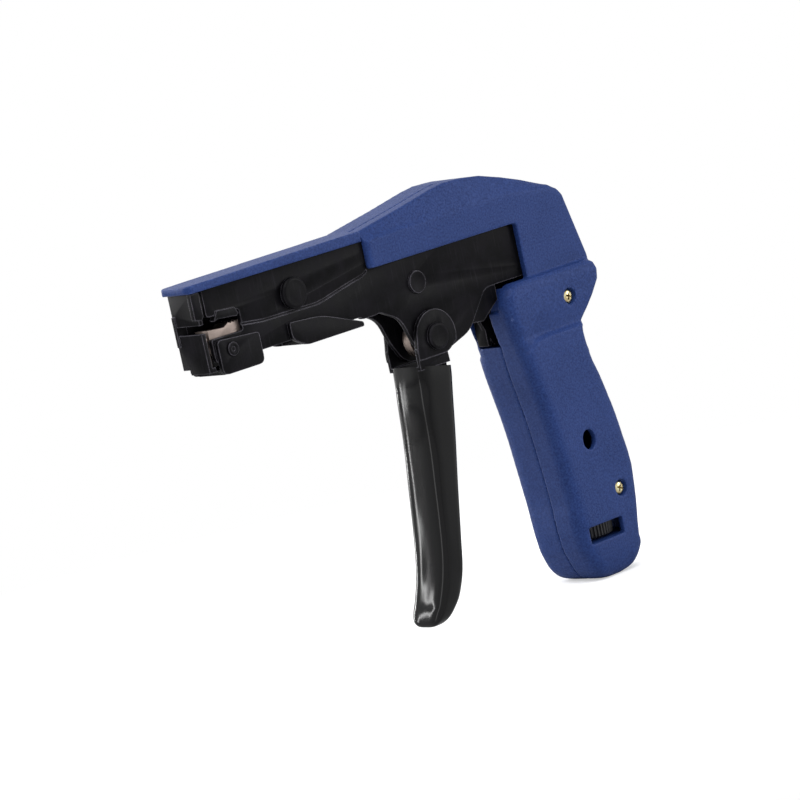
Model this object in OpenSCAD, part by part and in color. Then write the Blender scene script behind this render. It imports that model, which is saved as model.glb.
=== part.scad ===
// Cable tie tensioning tool: a hand tool that pulls a cable tie tight and trims its tail.
// X runs along the barrel with the nose at -X, Y across the tool and Z up.
// Each piece is drawn about the trigger pivot, and place() moves it so that the box of the
// whole tool stands on zero with its centre over the origin.

/* [Barrel] */
// Length from the trigger pivot to the front of the nose plate
nose_reach = 90.3; // [88:0.1:92]
// Height of the top of the side plates above the pivot
barrel_top = 35.1; // [34.6:0.1:36]
// Clear width between the side plates
plate_gap = 8.4; // [8.2:0.1:8.8]
// Thickness of the side plates
plate_t = 1.4; // [1.2:0.1:1.5]
// Height of the underside of the barrel above the pivot
barrel_floor = 12.5; // [12.2:0.1:12.8]
// Width of the blue strip over the barrel
strip_w = 13; // [12:0.1:15]
// Thickness of the blue strip at its tip
strip_t = 2.9; // [2.4:0.1:3.4]
// How far the strip reaches past the nose plate
strip_lip = 2.6; // [1:0.1:4]

/* [Nose] */
// Thickness of the nose plate
nose_t = 1.4; // [1.2:0.1:1.6]
// Room for the blade between the nose plate and the side plates
blade_room = 1.9; // [1.8:0.1:2.2]
// Thickness of the cut-off blade
blade_t = 1.4; // [1.2:0.1:1.5]
// Height of the tie slot's floor above the pivot
slot_floor = 22.3; // [22.1:0.1:22.6]
// Height of the tie slot
slot_h = 2.5; // [2.2:0.1:2.8]
// Length of the side opening behind the nose
mouth_l = 12.8; // [12.4:0.1:13.2]
// Height of the blade guard
guard_h = 10.4; // [10:0.1:10.8]
// Length of the blade guard
guard_l = 16.6; // [15:0.1:17]
// Thickness of the guard and saddle sheet
bracket_t = 1.4; // [1:0.1:1.6]
// Length of the saddle bracket
saddle_l = 29.2; // [26:0.1:31]

/* [Trigger] */
// Diameter of the trigger pivot
pivot_d = 6; // [5:0.1:6.6]
// Diameter of the pivot heads
pivot_head_d = 8.2; // [7.8:0.1:9]
// Radius of the trigger ears about the pivot
ear_r = 8.4; // [8:0.1:9]
// Length of the trigger from the pivot to its toe
trigger_l = 86; // [80:1:88]
// Width of the dipped grip
grip_w = 15; // [14:0.1:16]
// Angle that the trigger turns through when it is squeezed
squeeze = 26; // [20:1:26]

/* [Housing] */
// Width of the handle
handle_w = 23; // [22.6:0.1:25]
// Length of the handle from the pivot to its foot
handle_drop = 90; // [88:0.5:94]
// Width of the shoulder above the handle
shoulder_w = 21.2; // [20.8:0.1:22]
// Wall of the die-cast halves
wall = 2.2; // [2:0.1:2.4]
// Distance of the left wall's outer face from the centre plane
left_face = 7.8; // [7.6:0.1:8.2]
// Distance of the right cover's outer face from the centre plane
right_face = 10.9; // [10.9:0.1:11.2]
// Diameter of the viewing hole in the handle
view_hole_d = 6.4; // [5:0.1:7]
// Diameter of the two housing screws
screw_d = 2.5; // [2:0.1:2.8]

/* [Mechanism] */
// Thickness of the pull bar
bar_t = 3; // [2.6:0.1:3.2]
// Thickness of the levers between the plates
lever_t = 1.6; // [1.4:0.1:1.7]
// Outer diameter of the tension spring
spring_d = 8.6; // [8:0.1:9]
// Wire of the tension spring
spring_wire = 1.2; // [1:0.1:1.4]
// Active turns of the tension spring
spring_turns = 9; // [6:1:11]
// Radius of the adjuster wheel
wheel_r = 8.9; // [8.4:0.1:8.9]
// Height of the adjuster wheel
wheel_h = 4.4; // [4:0.1:4.8]
// Diameter of the adjuster screw
adjuster_d = 4; // [3.6:0.1:4]

/* [Hidden] */
$fn = 48;
// Clearance between pieces that move past each other
gap = 0.3;
// Clearance of a pin in its bore, on the radius
fit = 0.05;
// Overrun of every cut
cut = 1;
// Thickness of a layer that only shapes a hull
skin = 0.02;
// Steps in one rounded corner
corner_steps = 4;

// Colours of the finishes
blue_paint = "#33457a";
black_steel = "#1d1c21";
black_grip = "#101012";
raw_steel = "#7f756f";
spring_steel = "#9a9a9c";
yellow_zinc = "#c9a84e";

// Corners and curves
function unit(v) = v / norm(v);
// One corner of an outline, rounded over the length b[2] to each side
function corner(a, b, c) =
    let (
        r = min(b[2], norm([a.x - b.x, a.y - b.y]) / 2, norm([c.x - b.x, c.y - b.y]) / 2),
        p = [b.x, b.y],
        s = p + unit([a.x - b.x, a.y - b.y]) * r,
        e = p + unit([c.x - b.x, c.y - b.y]) * r
    )
    r <= 0 ? [p]
    : [for (i = [0:corner_steps]) let (t = i / corner_steps)
        s * (1 - t) * (1 - t) + p * 2 * t * (1 - t) + e * t * t];
// An outline of points [x, y, rounding] with its corners rounded
function soft(pts) =
    let (n = len(pts))
    [for (i = [0:n - 1]) each corner(pts[(i + n - 1) % n], pts[i], pts[(i + 1) % n])];
// The same outline moved inwards by d; its points run clockwise
function inset(pts, d) =
    let (n = len(pts))
    [for (i = [0:n - 1])
        let (
            a = pts[(i + n - 1) % n],
            b = pts[i],
            c = pts[(i + 1) % n],
            u = unit([b.x - a.x, b.y - a.y]),
            w = unit([c.x - b.x, c.y - b.y]),
            nu = [u.y, -u.x],
            nw = [w.y, -w.x]
        )
        [b.x, b.y] + (nu + nw) * d / (1 + nu * nw)];
function bare(pts) = [for (p = pts) [p.x, p.y]];

// A sheet in the XZ plane, from y0 to y1
module sheet(pts, y0, y1) {
    translate([0, y1, 0])
        rotate([90, 0, 0])
            linear_extrude(y1 - y0)
                polygon(pts);
}
// A round bar across the tool, from y0 to y1
module bar_y(p, d, y0, y1) {
    translate([p.x, y1, p.y])
        rotate([90, 0, 0])
            cylinder(d = d, h = y1 - y0);
}
// A box given by two corners
module block(a, b) {
    translate(a)
        cube(b - a);
}
// A low domed rivet head on the face y = y0, pointing along side * Y
module rivet_head(p, d, h, y0, side) {
    rim = h / 2;
    translate([p.x, y0, p.y])
        rotate([-side * 90, 0, 0]) {
            cylinder(d = d, h = rim);
            translate([0, 0, rim])
                cylinder(d1 = d, d2 = d - rim * 2, h = h - rim);
        }
}
// A tube along points, in rings of the given number of sides
function ring_at(p, t, r, sides) =
    let (
        side = unit(cross([0, 0, 1], t)),
        over = cross(t, side)
    )
    [for (k = [0:sides - 1]) let (a = 360 * k / sides) p + side * r * cos(a) + over * r * sin(a)];
module tube(path, r, sides) {
    n = len(path);
    rings = [for (i = [0:n - 1])
        each ring_at(path[i], unit(path[min(i + 1, n - 1)] - path[max(i - 1, 0)]), r, sides)];
    walls = [for (i = [0:n - 2]) for (k = [0:sides - 1])
        let (a = i * sides + k, b = i * sides + (k + 1) % sides)
            each [[a, b, b + sides], [a, b + sides, a + sides]]];
    first = [for (k = [1:sides - 2]) [0, k + 1, k]];
    last = [for (k = [1:sides - 2]) [0, k, k + 1] + (n - 1) * sides * [1, 1, 1]];
    polyhedron(points = rings, faces = concat(walls, first, last));
}

// Layers across the tool
plate_in = plate_gap / 2;
plate_out = plate_in + plate_t;
ear_t = plate_t;
ear_in = plate_out + gap;
ear_out = ear_in + ear_t;
pivot_head_t = 1.4;
part_y = -1;
cover_in = ear_out + pivot_head_t + gap;
left_in = plate_out + gap / 2;

// Places along the barrel
nose_x = -nose_reach;
nose_back = nose_x + nose_t;
plate_x = nose_back + blade_room;
mouth_x = plate_x + mouth_l;
strip_x = nose_x - strip_lip;
lobe_x = -21.2;
saddle_x = -57.2;
guard_x = plate_x + bracket_t / 2;
barrel_stud_at = [-52.7, 25.8];
frame_rivet_at = [-2, 17.5];

// Side plates
mouth_roof = 26.4;
mouth_floor = 19.8;
plate_chin = 12.5;
lug_front = -26.8;
lug_floor = barrel_floor - 0.8;
lug_back = -21.2;
pivot_boss_r = 7;
plate_heel = [16, -2];
plate_toe = [-8.6, 0.5];
plate_step = [26, 9.2];
plate_tail = 66;
plate_tail_top = 17;
plate_shoulder_x = 34;
plate_crown_x = 58;
plate_crown = barrel_top - 4;
crease_w = 0.7;
crease_depth = 0.5;
flange_t = plate_t;
flange_w = 2.1;
flange_x0 = saddle_x - 11;
flange_x1 = lug_front;
crease = [
    [mouth_x, 21.3], [-66, 20.4], [-43.7, 20.2], [-39.8, 20.8], [-32.7, 22.3], [-23.5, 24], [lobe_x, 25]
];
function arc(p, r, a0, a1, steps) =
    [for (i = [0:steps]) let (a = a0 + (a1 - a0) * i / steps) [p.x + r * cos(a), p.y + r * sin(a), 0]];
plate_leg = [29.5, 0];
plate_leg_l = 10.4;
plate_leg_w = 9;
// Below the tail: the left plate steps back at the shoulder, the right one runs down into the handle
function plate_back(side) = side < 0 ? [[plate_step.x, plate_step.y, 2]] : [
    [plate_leg.x + 5 + plate_leg_w, plate_step.y, 2], [plate_leg.x + 5 + plate_leg_w, -plate_leg_l, 2],
    [plate_leg.x + 5, -plate_leg_l, 1], [plate_leg.x, plate_leg.y, 1]
];
// Only the left plate is open at the mouth
function plate_mouth(side) = side > 0 ? [] : [
    [plate_x, mouth_floor, 0.8], [mouth_x, mouth_floor, 0.8], [mouth_x, mouth_roof, 1.2], [plate_x, mouth_roof, 1]
];
function plate_outline(side) = soft(concat(
    [
        [plate_x, barrel_top, 0.6], [plate_shoulder_x, barrel_top, 8], [plate_crown_x, plate_crown, 6],
        [plate_tail, plate_tail_top, 4], [plate_tail, plate_step.y, 2]
    ],
    plate_back(side),
    [[plate_heel.x, plate_heel.y, 3]],
    arc([0, 0], pivot_boss_r, -52, -150, 8),
    [
        [plate_toe.x, plate_toe.y, 2], [-11.6, 8.2, 3], [lug_back + 2, lug_floor + 0.3, 3], [lug_back, lug_floor, 1],
        [lug_front, lug_floor, 1], [lug_front - 1, barrel_floor, 0.5], [plate_x, plate_chin, 2]
    ],
    plate_mouth(side)
));

module plate_bores(side) {
    y0 = side < 0 ? -plate_out - cut : plate_in - cut;
    y1 = side < 0 ? -plate_in + cut : plate_out + cut;
    bar_y([0, 0], pivot_d + 2 * fit, y0, y1);
    bar_y(barrel_stud_at, stud_shaft_d, y0, y1);
    bar_y(frame_rivet_at, frame_shaft_d, y0, y1);
    bar_y(tension_at, tension_pin_d, y0, y1);
    bar_y(nose_rivet_at, nose_shaft_d, y0, y1);
    if (side > 0)
        bar_y(rocker_at, rocker_pin_d, y0, y1);
}
// The shallow step line along the barrel's outer face
module crease_cut(side) {
    y0 = side < 0 ? -plate_out - cut : plate_out - crease_depth;
    y1 = side < 0 ? -plate_out + crease_depth : plate_out + cut;
    n = len(crease);
    sheet(concat(crease, [for (i = [n - 1:-1:0]) crease[i] + [0, crease_w]]), y0, y1);
}
module side_plate(side) {
    y0 = side < 0 ? -plate_out : plate_in;
    y1 = side < 0 ? -plate_in : plate_out;
    difference() {
        union() {
            sheet(plate_outline(side), y0, y1);
            mirror([0, side < 0 ? 0 : 1, 0])
                block([flange_x0, -plate_in - skin, barrel_floor], [flange_x1, -flange_w, barrel_floor + flange_t]);
        }
        plate_bores(side);
        crease_cut(side);
    }
}
module side_plate_left() {
    color(black_steel) side_plate(-1);
}
module side_plate_right() {
    color(black_steel) side_plate(1);
}

// Nose plate with its slot for the tie, open at the near side
nose_floor = 10.5;
nose_step = 1.5;
nose_step_w = 3;
slot_end = plate_out - 1.2;
nose_lid_l = 4;
nose_hook_l = 3.6;
nose_top = barrel_top - gap / 3;
slot_roof = slot_floor + slot_h;
module nose_plate() {
    color(black_steel) difference() {
        union() {
            block([nose_x, -plate_out, nose_floor], [nose_back, plate_out, nose_top]);
            block([nose_x, -plate_in + gap, nose_top - nose_t], [plate_x + nose_lid_l, plate_in - gap, nose_top]);
            block([nose_x, -plate_out, nose_floor], [guard_x, plate_out, nose_floor + nose_t]);
        }
        block([nose_x - cut, -plate_out - cut, slot_floor], [nose_back + cut, slot_end, slot_roof]);
        block([nose_x - cut, plate_out - nose_step_w, nose_floor - cut],
            [nose_back + cut, plate_out + cut, nose_floor + nose_step]);
        block([nose_back + gap * 4, -plate_out - cut, nose_floor - cut],
            [guard_x + cut, -plate_out + nose_step_w, nose_floor + nose_t + cut]);
    }
}

// Blade guard: a U of sheet under the nose
guard_top = mouth_floor - 0.5;
guard_floor = guard_top - guard_h;
guard_back = guard_x + guard_l;
guard_drop = 1.1;
nose_rivet_at = [-81, 15.7];
nose_rivet_d = 4.3;
nose_shaft_d = 2.6;
nose_head_t = 0.7;
bracket_out = plate_out + bracket_t;
module guard_side(y0, y1) {
    sheet(soft([
        [guard_x, guard_top, 1.6], [guard_back, guard_top - guard_drop, 1], [guard_back, guard_floor, 2.2],
        [guard_x, guard_floor, 2.2]
    ]), y0, y1);
}
module blade_guard() {
    color(black_steel) difference() {
        union() {
            guard_side(-bracket_out, -plate_out);
            guard_side(plate_out, bracket_out);
            block([guard_x + bracket_t, -plate_out - skin, guard_floor],
                [guard_back - bracket_t, plate_out + skin, guard_floor + bracket_t]);
        }
        bar_y(nose_rivet_at, nose_shaft_d, -bracket_out - cut, bracket_out + cut);
    }
}
module nose_rivets() {
    color(black_steel) for (side = [-1, 1]) {
        y0 = side < 0 ? -bracket_out - skin : plate_in;
        y1 = side < 0 ? -plate_in : bracket_out + skin;
        bar_y(nose_rivet_at, nose_shaft_d, y0, y1);
        rivet_head(nose_rivet_at, nose_rivet_d, nose_head_t, side * bracket_out, side);
    }
}

// Saddle bracket: a U of sheet round the underside of the barrel
saddle_floor = 9.9;
saddle_top = 17.8;
saddle_back = saddle_x + saddle_l;
saddle_flat = 13;
saddle_nose = 5.2;
saddle_tail_h = 1.4;
module saddle_side(y0, y1) {
    sheet(soft([
        [saddle_x, saddle_top, 0.8], [saddle_x + saddle_flat, saddle_top - 0.8, 4],
        [saddle_back, saddle_floor + saddle_tail_h, 1], [saddle_back, saddle_floor, 0.6],
        [saddle_x + saddle_nose, saddle_floor, 1.5], [saddle_x, saddle_top - saddle_nose, 2]
    ]), y0, y1);
}
module saddle_bracket() {
    color(black_steel) union() {
        saddle_side(-bracket_out, -plate_out);
        saddle_side(plate_out, bracket_out);
        block([saddle_x + saddle_nose + bracket_t, -plate_out - skin, saddle_floor],
            [saddle_back - bracket_t, plate_out + skin, saddle_floor + bracket_t]);
        block([saddle_x + saddle_nose + bracket_t, -saddle_web_w, saddle_floor],
            [saddle_x + saddle_flat, saddle_web_w, barrel_floor]);
    }
}
saddle_web_w = plate_in;

// Studs and rivets of the frame
stud_d = 9.7;
stud_shaft_d = 5;
stud_head_t = 2.2;
module barrel_stud() {
    color(black_steel) union() {
        bar_y(barrel_stud_at, stud_shaft_d, -plate_out - skin, plate_out + skin);
        rivet_head(barrel_stud_at, stud_d, stud_head_t, -plate_out, -1);
        rivet_head(barrel_stud_at, stud_d, stud_head_t, plate_out, 1);
    }
}
frame_rivet_d = 7;
frame_shaft_d = 4;
frame_head_t = 0.8;
module frame_rivet() {
    color(black_steel) union() {
        bar_y(frame_rivet_at, frame_shaft_d, -plate_out - skin, plate_out + skin);
        rivet_head(frame_rivet_at, frame_rivet_d, frame_head_t, -plate_out, -1);
        rivet_head(frame_rivet_at, frame_rivet_d, frame_head_t, plate_out, 1);
    }
}
module trigger_pivot() {
    color(black_steel) union() {
        bar_y([0, 0], pivot_d, -ear_out - skin, ear_out + skin);
        rivet_head([0, 0], pivot_head_d, pivot_head_t, -ear_out, -1);
        rivet_head([0, 0], pivot_head_d, pivot_head_t, ear_out, 1);
    }
}

// Trigger lever: two ears outside the plates, a narrower band below them, and a channel inboard
channel_w = 12;
channel_t = 1.3;
ear_floor = -5.6;
band_floor = -8.7;
band_sink = 0.4;
channel_top = band_floor + channel_t;
// Stations down the channel as shares of the trigger's length: depth, front and back
channel_shares = [
    [0.086, -0.095, 0.036], [0.22, -0.103, 0.022], [0.36, -0.117, -0.006], [0.52, -0.137, -0.043],
    [0.72, -0.167, -0.088], [0.84, -0.198, -0.12], [0.89, -0.219, -0.17]
];
channel_outline = [
    for (s = channel_shares) [s[1], -s[0]] * trigger_l,
    for (i = [len(channel_shares) - 1:-1:0]) [channel_shares[i][2], -channel_shares[i][0]] * trigger_l
];
ear_front = -9;
ear_back = 0.6;
band_back = 3.6;
ear_outline = soft(concat(
    arc([0, 0], ear_r, 180, -20, 12),
    [[band_back, ear_floor, 1.5], [ear_front, ear_floor, 0.6], [ear_front, ear_floor / 2, 2]]
));
band_outline = [
    [ear_front, -2], [band_back - 1.5, -2], [band_back, ear_floor], [band_back + 0.2, band_floor], [ear_front, band_floor]
];
notch_w = 7;
channel_in = channel_w / 2 - channel_t;
band_out = ear_out - band_sink;
module trigger_lever() {
    color(black_steel) difference() {
        union() {
            sheet(ear_outline, -ear_out, -ear_in);
            sheet(ear_outline, ear_in, ear_out);
            sheet(band_outline, -band_out, -ear_in);
            sheet(band_outline, ear_in, band_out);
            for (side = [0, 1])
                mirror([0, side, 0])
                    block([ear_front, channel_in, band_floor], [band_back, band_out, channel_top]);
            sheet(channel_outline, -channel_w / 2, channel_w / 2);
        }
        translate([channel_t, 0, 0])
            sheet(channel_outline, -channel_in, channel_in);
        // The notch in the web between the ears
        translate([ear_front - cut, 0, band_floor + channel_t])
            rotate([45, 0, 0])
                translate([0, -notch_w / 2, -notch_w / 2])
                    cube([channel_t + 2 * cut, notch_w, notch_w]);
        bar_y([0, 0], pivot_d, -ear_out - cut, ear_out + cut);
    }
}

// Dipped grip: stations down the trigger as shares of its length: depth, front, back, half width
grip_shares = [
    [0.117, -0.1, 0.062, 0.95], [0.22, -0.115, 0.040, 0.98], [0.36, -0.129, 0.008, 1],
    [0.52, -0.150, -0.030, 1], [0.70, -0.176, -0.070, 0.99], [0.82, -0.204, -0.093, 0.97],
    [0.90, -0.236, -0.130, 0.93], [0.94, -0.259, -0.164, 0.88], [0.968, -0.27, -0.196, 0.76],
    [0.985, -0.272, -0.226, 0.52]
];
grip_round = 3.4;
function grip_ring(s) =
    let (x0 = s[1] * trigger_l, x1 = s[2] * trigger_l, y = s[3] * grip_w / 2, r = min(grip_round, (x1 - x0) * 0.45))
    [for (p = soft([[x0, -y, r], [x0, y, r], [x1, y, r], [x1, -y, r]])) [p.x, p.y, -s[0] * trigger_l]];
module trigger_grip() {
    color(black_grip) difference() {
        loft([for (s = grip_shares) grip_ring(s)]);
        sheet(channel_outline, -channel_w / 2, channel_w / 2);
    }
}

// Trigger arm and drive pin between the plates
drive_r = 14;
drive_pin_d = 3;
rocker_at = [24, 6];
rocker_pin_d = 4;
rocker_reach = norm(rocker_at);
rocker_dir = atan2(rocker_at.y, rocker_at.x);
arm_angle = rocker_dir - squeeze / 2;
drive_at = [drive_r * cos(arm_angle), drive_r * sin(arm_angle)];
arm_hub_r = 6;
arm_end_r = 2.9;
bar_y0 = -bar_t / 2;
bar_y1 = bar_t / 2;
rocker_y0 = bar_y1 + gap;
rocker_t = 2;
rocker_y1 = rocker_y0 + rocker_t;
module trigger_arm() {
    color(raw_steel) difference() {
        union() {
            bar_y([0, 0], arm_hub_r * 2, bar_y0, bar_y1);
            bar_y(drive_at, arm_end_r * 2, bar_y0, bar_y1);
            rotate([0, -arm_angle, 0])
                block([0, bar_y0, -arm_end_r], [drive_r, bar_y1, arm_end_r]);
        }
        bar_y([0, 0], pivot_d, bar_y0 - cut, bar_y1 + cut);
        bar_y(drive_at, drive_pin_d, bar_y0 - cut, bar_y1 + cut);
    }
}
module drive_pin() {
    color(spring_steel) bar_y(drive_at, drive_pin_d, bar_y0, rocker_y1);
}

// Return spring: a wound wire round the pivot with two straight legs
return_wire = 0.6;
return_r = pivot_d / 2 + return_wire;
return_turns = 2;
return_steps = 16;
return_leg = 9;
return_y = -plate_in + gap + return_wire / 2;
return_pitch = (bar_y0 - gap - return_wire / 2 - return_y) / return_turns;
return_path = concat(
    [[-return_leg, return_y, return_r]],
    [for (i = [0:return_turns * return_steps])
        let (a = 90 - 360 * i / return_steps)
            [return_r * cos(a), return_y + return_pitch * i / return_steps, return_r * sin(a)]],
    [[return_leg, return_y + return_pitch * return_turns, return_r]]
);
module return_spring() {
    // The wound axis lies along Y, so the tube is swept upright and laid over
    upright = [for (p = return_path) [p.x, p.z, p.y]];
    color(spring_steel)
        mirror([0, 1, 0])
            rotate([90, 0, 0])
                tube(upright, return_wire / 2, 6);
}

// Rocker: swings on its pin, driven below and carrying the bar pin above
rocker_half = atan(drive_r * sin(squeeze / 2) / (rocker_reach - drive_r * cos(squeeze / 2)));
rocker_arm = 16;
rocker_hub_r = 4;
rocker_tip_r = 2.8;
bar_pin_d = 3;
bar_pin_at = rocker_at + rocker_arm * [-sin(rocker_half), cos(rocker_half)];
slot_play = 0.2;
slot_near = rocker_reach - drive_r - 1.2;
slot_far = norm(rocker_at - drive_at) + 0.6;
drive_dir = atan2(drive_at.y - rocker_at.y, drive_at.x - rocker_at.x);
function along(p, a, d) = p + d * [cos(a), sin(a)];
slot_steps = 9;
module slot_y(p, q, d, y0, y1) {
    a = atan2(q.y - p.y, q.x - p.x);
    sheet(bare(concat(arc(q, d / 2, a + 90, a - 90, slot_steps), arc(p, d / 2, a - 90, a - 270, slot_steps))), y0, y1);
}
module rocker() {
    color(raw_steel) difference() {
        union() {
            bar_y(rocker_at, rocker_hub_r * 2, rocker_y0, rocker_y1);
            slot_y(rocker_at, bar_pin_at, rocker_tip_r * 2, rocker_y0, rocker_y1);
            slot_y(rocker_at, along(rocker_at, drive_dir, slot_far), drive_pin_d + 2 * slot_play + 2.6, rocker_y0, rocker_y1);
        }
        bar_y(rocker_at, rocker_pin_d + 2 * fit, rocker_y0 - cut, rocker_y1 + cut);
        bar_y(bar_pin_at, bar_pin_d, rocker_y0 - cut, rocker_y1 + cut);
        slot_y(along(rocker_at, drive_dir, slot_near), along(rocker_at, drive_dir, slot_far),
            drive_pin_d + 2 * slot_play, rocker_y0 - cut, rocker_y1 + cut);
    }
}
module rocker_pin() {
    color(raw_steel) bar_y(rocker_at, rocker_pin_d, -plate_in, plate_out);
}
module bar_pin() {
    color(spring_steel) bar_y(bar_pin_at, bar_pin_d, bar_y0, rocker_y1);
}

// Pull bar: straight under the stud, then raised over the frame rivet
stroke = 2 * rocker_arm * sin(rocker_half);
bar_floor = 14.8;
bar_h = 2.9;
bar_rise_x0 = -33;
bar_rise_x1 = -19;
bar_tail_floor = 20.4;
bar_tail_h = 4.6;
bar_tail_end = bar_pin_at.x + 4;
pawl_pin_d = 2;
pawl_pin_at = [-70.5, bar_floor + bar_h / 2];
bar_nose_r = 1.9;
module pull_bar() {
    color(raw_steel) difference() {
        union() {
            sheet([
                [pawl_pin_at.x, bar_floor], [bar_rise_x0, bar_floor], [bar_rise_x1, bar_tail_floor],
                [bar_tail_end, bar_tail_floor - 2], [bar_tail_end, bar_tail_floor + bar_tail_h - 1],
                [bar_rise_x1, bar_tail_floor + bar_tail_h - 1], [bar_rise_x0 - 4, bar_floor + bar_h],
                [pawl_pin_at.x, bar_floor + bar_h]
            ], bar_y0, bar_y1);
            bar_y(pawl_pin_at, bar_nose_r * 2, bar_y0, bar_y1);
        }
        slot_y(bar_pin_at + [0, -0.4], bar_pin_at + [0, 0.9], bar_pin_d + 2 * slot_play, bar_y0 - cut, bar_y1 + cut);
        bar_y(pawl_pin_at, pawl_pin_d, bar_y0 - cut, bar_y1 + cut);
    }
}
module pawl_pin() {
    color(spring_steel) bar_y(pawl_pin_at, pawl_pin_d, pawl_y0, bar_y1);
}

// Gripper pawl: a block with a saw-toothed bump, hinged on one lug
pawl_y0 = -plate_in + 0.2;
pawl_y1 = 1.7;
pawl_front = plate_x + 0.6;
pawl_back = pawl_pin_at.x - bar_nose_r - 0.6;
pawl_floor = 14.5;
pawl_top = 22.2;
pawl_bump = 0.9;
pawl_teeth = 4;
pawl_bump_l = 5;
pawl_lug_t = 2;
pawl_lug_r = 2.3;
tooth_pitch = pawl_bump_l / pawl_teeth;
module gripper_pawl() {
    color(raw_steel) difference() {
        union() {
            sheet(concat(
                [
                    [pawl_front, pawl_floor + 3], [pawl_front, pawl_top + 0.3],
                    [pawl_back - pawl_bump_l - 2, pawl_top - 0.2]
                ],
                [for (i = [0:pawl_teeth - 1]) each [
                    [pawl_back - pawl_bump_l + i * tooth_pitch, pawl_top + pawl_bump],
                    [pawl_back - pawl_bump_l + (i + 0.9) * tooth_pitch, pawl_top + pawl_bump / 2]
                ]],
                [[pawl_back, pawl_top + pawl_bump / 2], [pawl_back, pawl_floor], [pawl_front + 3, pawl_floor]]
            ), pawl_y0, pawl_y1);
            sheet([
                [pawl_back - cut, pawl_pin_at.y + pawl_lug_r], [pawl_pin_at.x, pawl_pin_at.y + pawl_lug_r],
                [pawl_pin_at.x, pawl_pin_at.y - pawl_lug_r + 0.6], [pawl_back - cut, pawl_pin_at.y - pawl_lug_r + 0.6]
            ], pawl_y0, pawl_y0 + pawl_lug_t);
            bar_y(pawl_pin_at, (pawl_lug_r - 0.6) * 2, pawl_y0, pawl_y0 + pawl_lug_t);
        }
        bar_y(pawl_pin_at, pawl_pin_d + 2 * fit, pawl_y0 - cut, pawl_y1 + cut);
    }
}
// Leaf spring under the pawl, held by a foot on the pull bar
leaf_t = 0.4;
leaf_w = 2.4;
leaf_top = pawl_floor - gap;
leaf_foot_x = -62;
module pawl_spring() {
    color(spring_steel) union() {
        block([pawl_back - 1.2, -leaf_w / 2, leaf_top - leaf_t], [leaf_foot_x, leaf_w / 2, leaf_top]);
        block([leaf_foot_x - 3, -leaf_w / 2, leaf_top - skin], [leaf_foot_x, leaf_w / 2, bar_floor]);
    }
}

// Cut-off blade between the nose plate and the side plates
blade_x = nose_back + (blade_room - blade_t) / 2;
blade_half = 4;
blade_floor = nose_floor + nose_t + 0.3;
blade_edge = slot_floor - 0.7;
blade_notch_floor = 16.2;
blade_notch_h = 3.6;
blade_notch_y = 1.5;
module cut_off_blade() {
    color(raw_steel) difference() {
        sheet([[blade_x, blade_floor], [blade_x + blade_t, blade_floor], [blade_x + blade_t, blade_edge - 1.2],
            [blade_x, blade_edge]], -blade_half, blade_half);
        block([blade_x - cut, blade_notch_y, blade_notch_floor], [blade_x + blade_t + cut, blade_half + cut, blade_notch_floor + blade_notch_h]);
    }
}
// Cut-off lever on the barrel stud
lever_y0 = 2;
lever_y1 = lever_y0 + lever_t;
cut_tip = [blade_x + blade_t * 0.6, blade_notch_floor + blade_notch_h / 2];
cut_tip_h = 2.6;
cut_tail_x = -18;
cut_tail_h = 3;
cut_hub_r = 4.6;
module cut_off_lever() {
    color(raw_steel) difference() {
        union() {
            sheet([
                [cut_tip.x, cut_tip.y - cut_tip_h / 2], [cut_tip.x, cut_tip.y + cut_tip_h / 2],
                [plate_x + 4, cut_tip.y + cut_tip_h / 2], [barrel_stud_at.x, barrel_stud_at.y + cut_hub_r - 1],
                [cut_tail_x, barrel_stud_at.y + 1.8], [cut_tail_x, barrel_stud_at.y + 1.8 - cut_tail_h],
                [barrel_stud_at.x, barrel_stud_at.y - cut_hub_r + 0.4], [plate_x + 4, cut_tip.y - cut_tip_h / 2]
            ], lever_y0, lever_y1);
            bar_y(barrel_stud_at, cut_hub_r * 2, lever_y0, lever_y1);
        }
        bar_y(barrel_stud_at, stud_shaft_d + 2 * fit, lever_y0 - cut, lever_y1 + cut);
    }
}
// Tension lever on its own pin, from the spring in the handle to the cut-off lever
tension_at = [62, 12];
tension_pin_d = 4;
tension_hub_r = 4;
tension_floor = barrel_stud_at.y + 1.8 + gap;
tension_h = 3.6;
tension_tip_x = cut_tail_x - 1;
tension_elbow = 44;
heel_x = 52.4;
heel_floor = 9.4;
heel_h = 4;
module tension_lever() {
    color(raw_steel) difference() {
        union() {
            bar_y(tension_at, tension_hub_r * 2, lever_y0, lever_y1);
            sheet([
                [tension_tip_x, tension_floor], [tension_tip_x, tension_floor + tension_h],
                [tension_elbow + 4, tension_floor + tension_h], [tension_at.x + 3, tension_at.y + 2],
                [tension_at.x - 3, tension_at.y - 2], [tension_elbow, tension_floor]
            ], lever_y0, lever_y1);
            sheet([
                [heel_x - 2, heel_floor], [heel_x - 2, heel_floor + heel_h], [tension_at.x, tension_at.y + 3],
                [tension_at.x, tension_at.y - 3], [heel_x + 2, heel_floor]
            ], lever_y0, lever_y1);
            block([heel_x - 2, -lever_y1, heel_floor], [heel_x + 2, lever_y1, heel_floor + lever_t]);
        }
        bar_y(tension_at, tension_pin_d + 2 * fit, lever_y0 - cut, lever_y1 + cut);
    }
}
module tension_pin() {
    color(raw_steel) bar_y(tension_at, tension_pin_d, -plate_out, plate_out);
}

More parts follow.
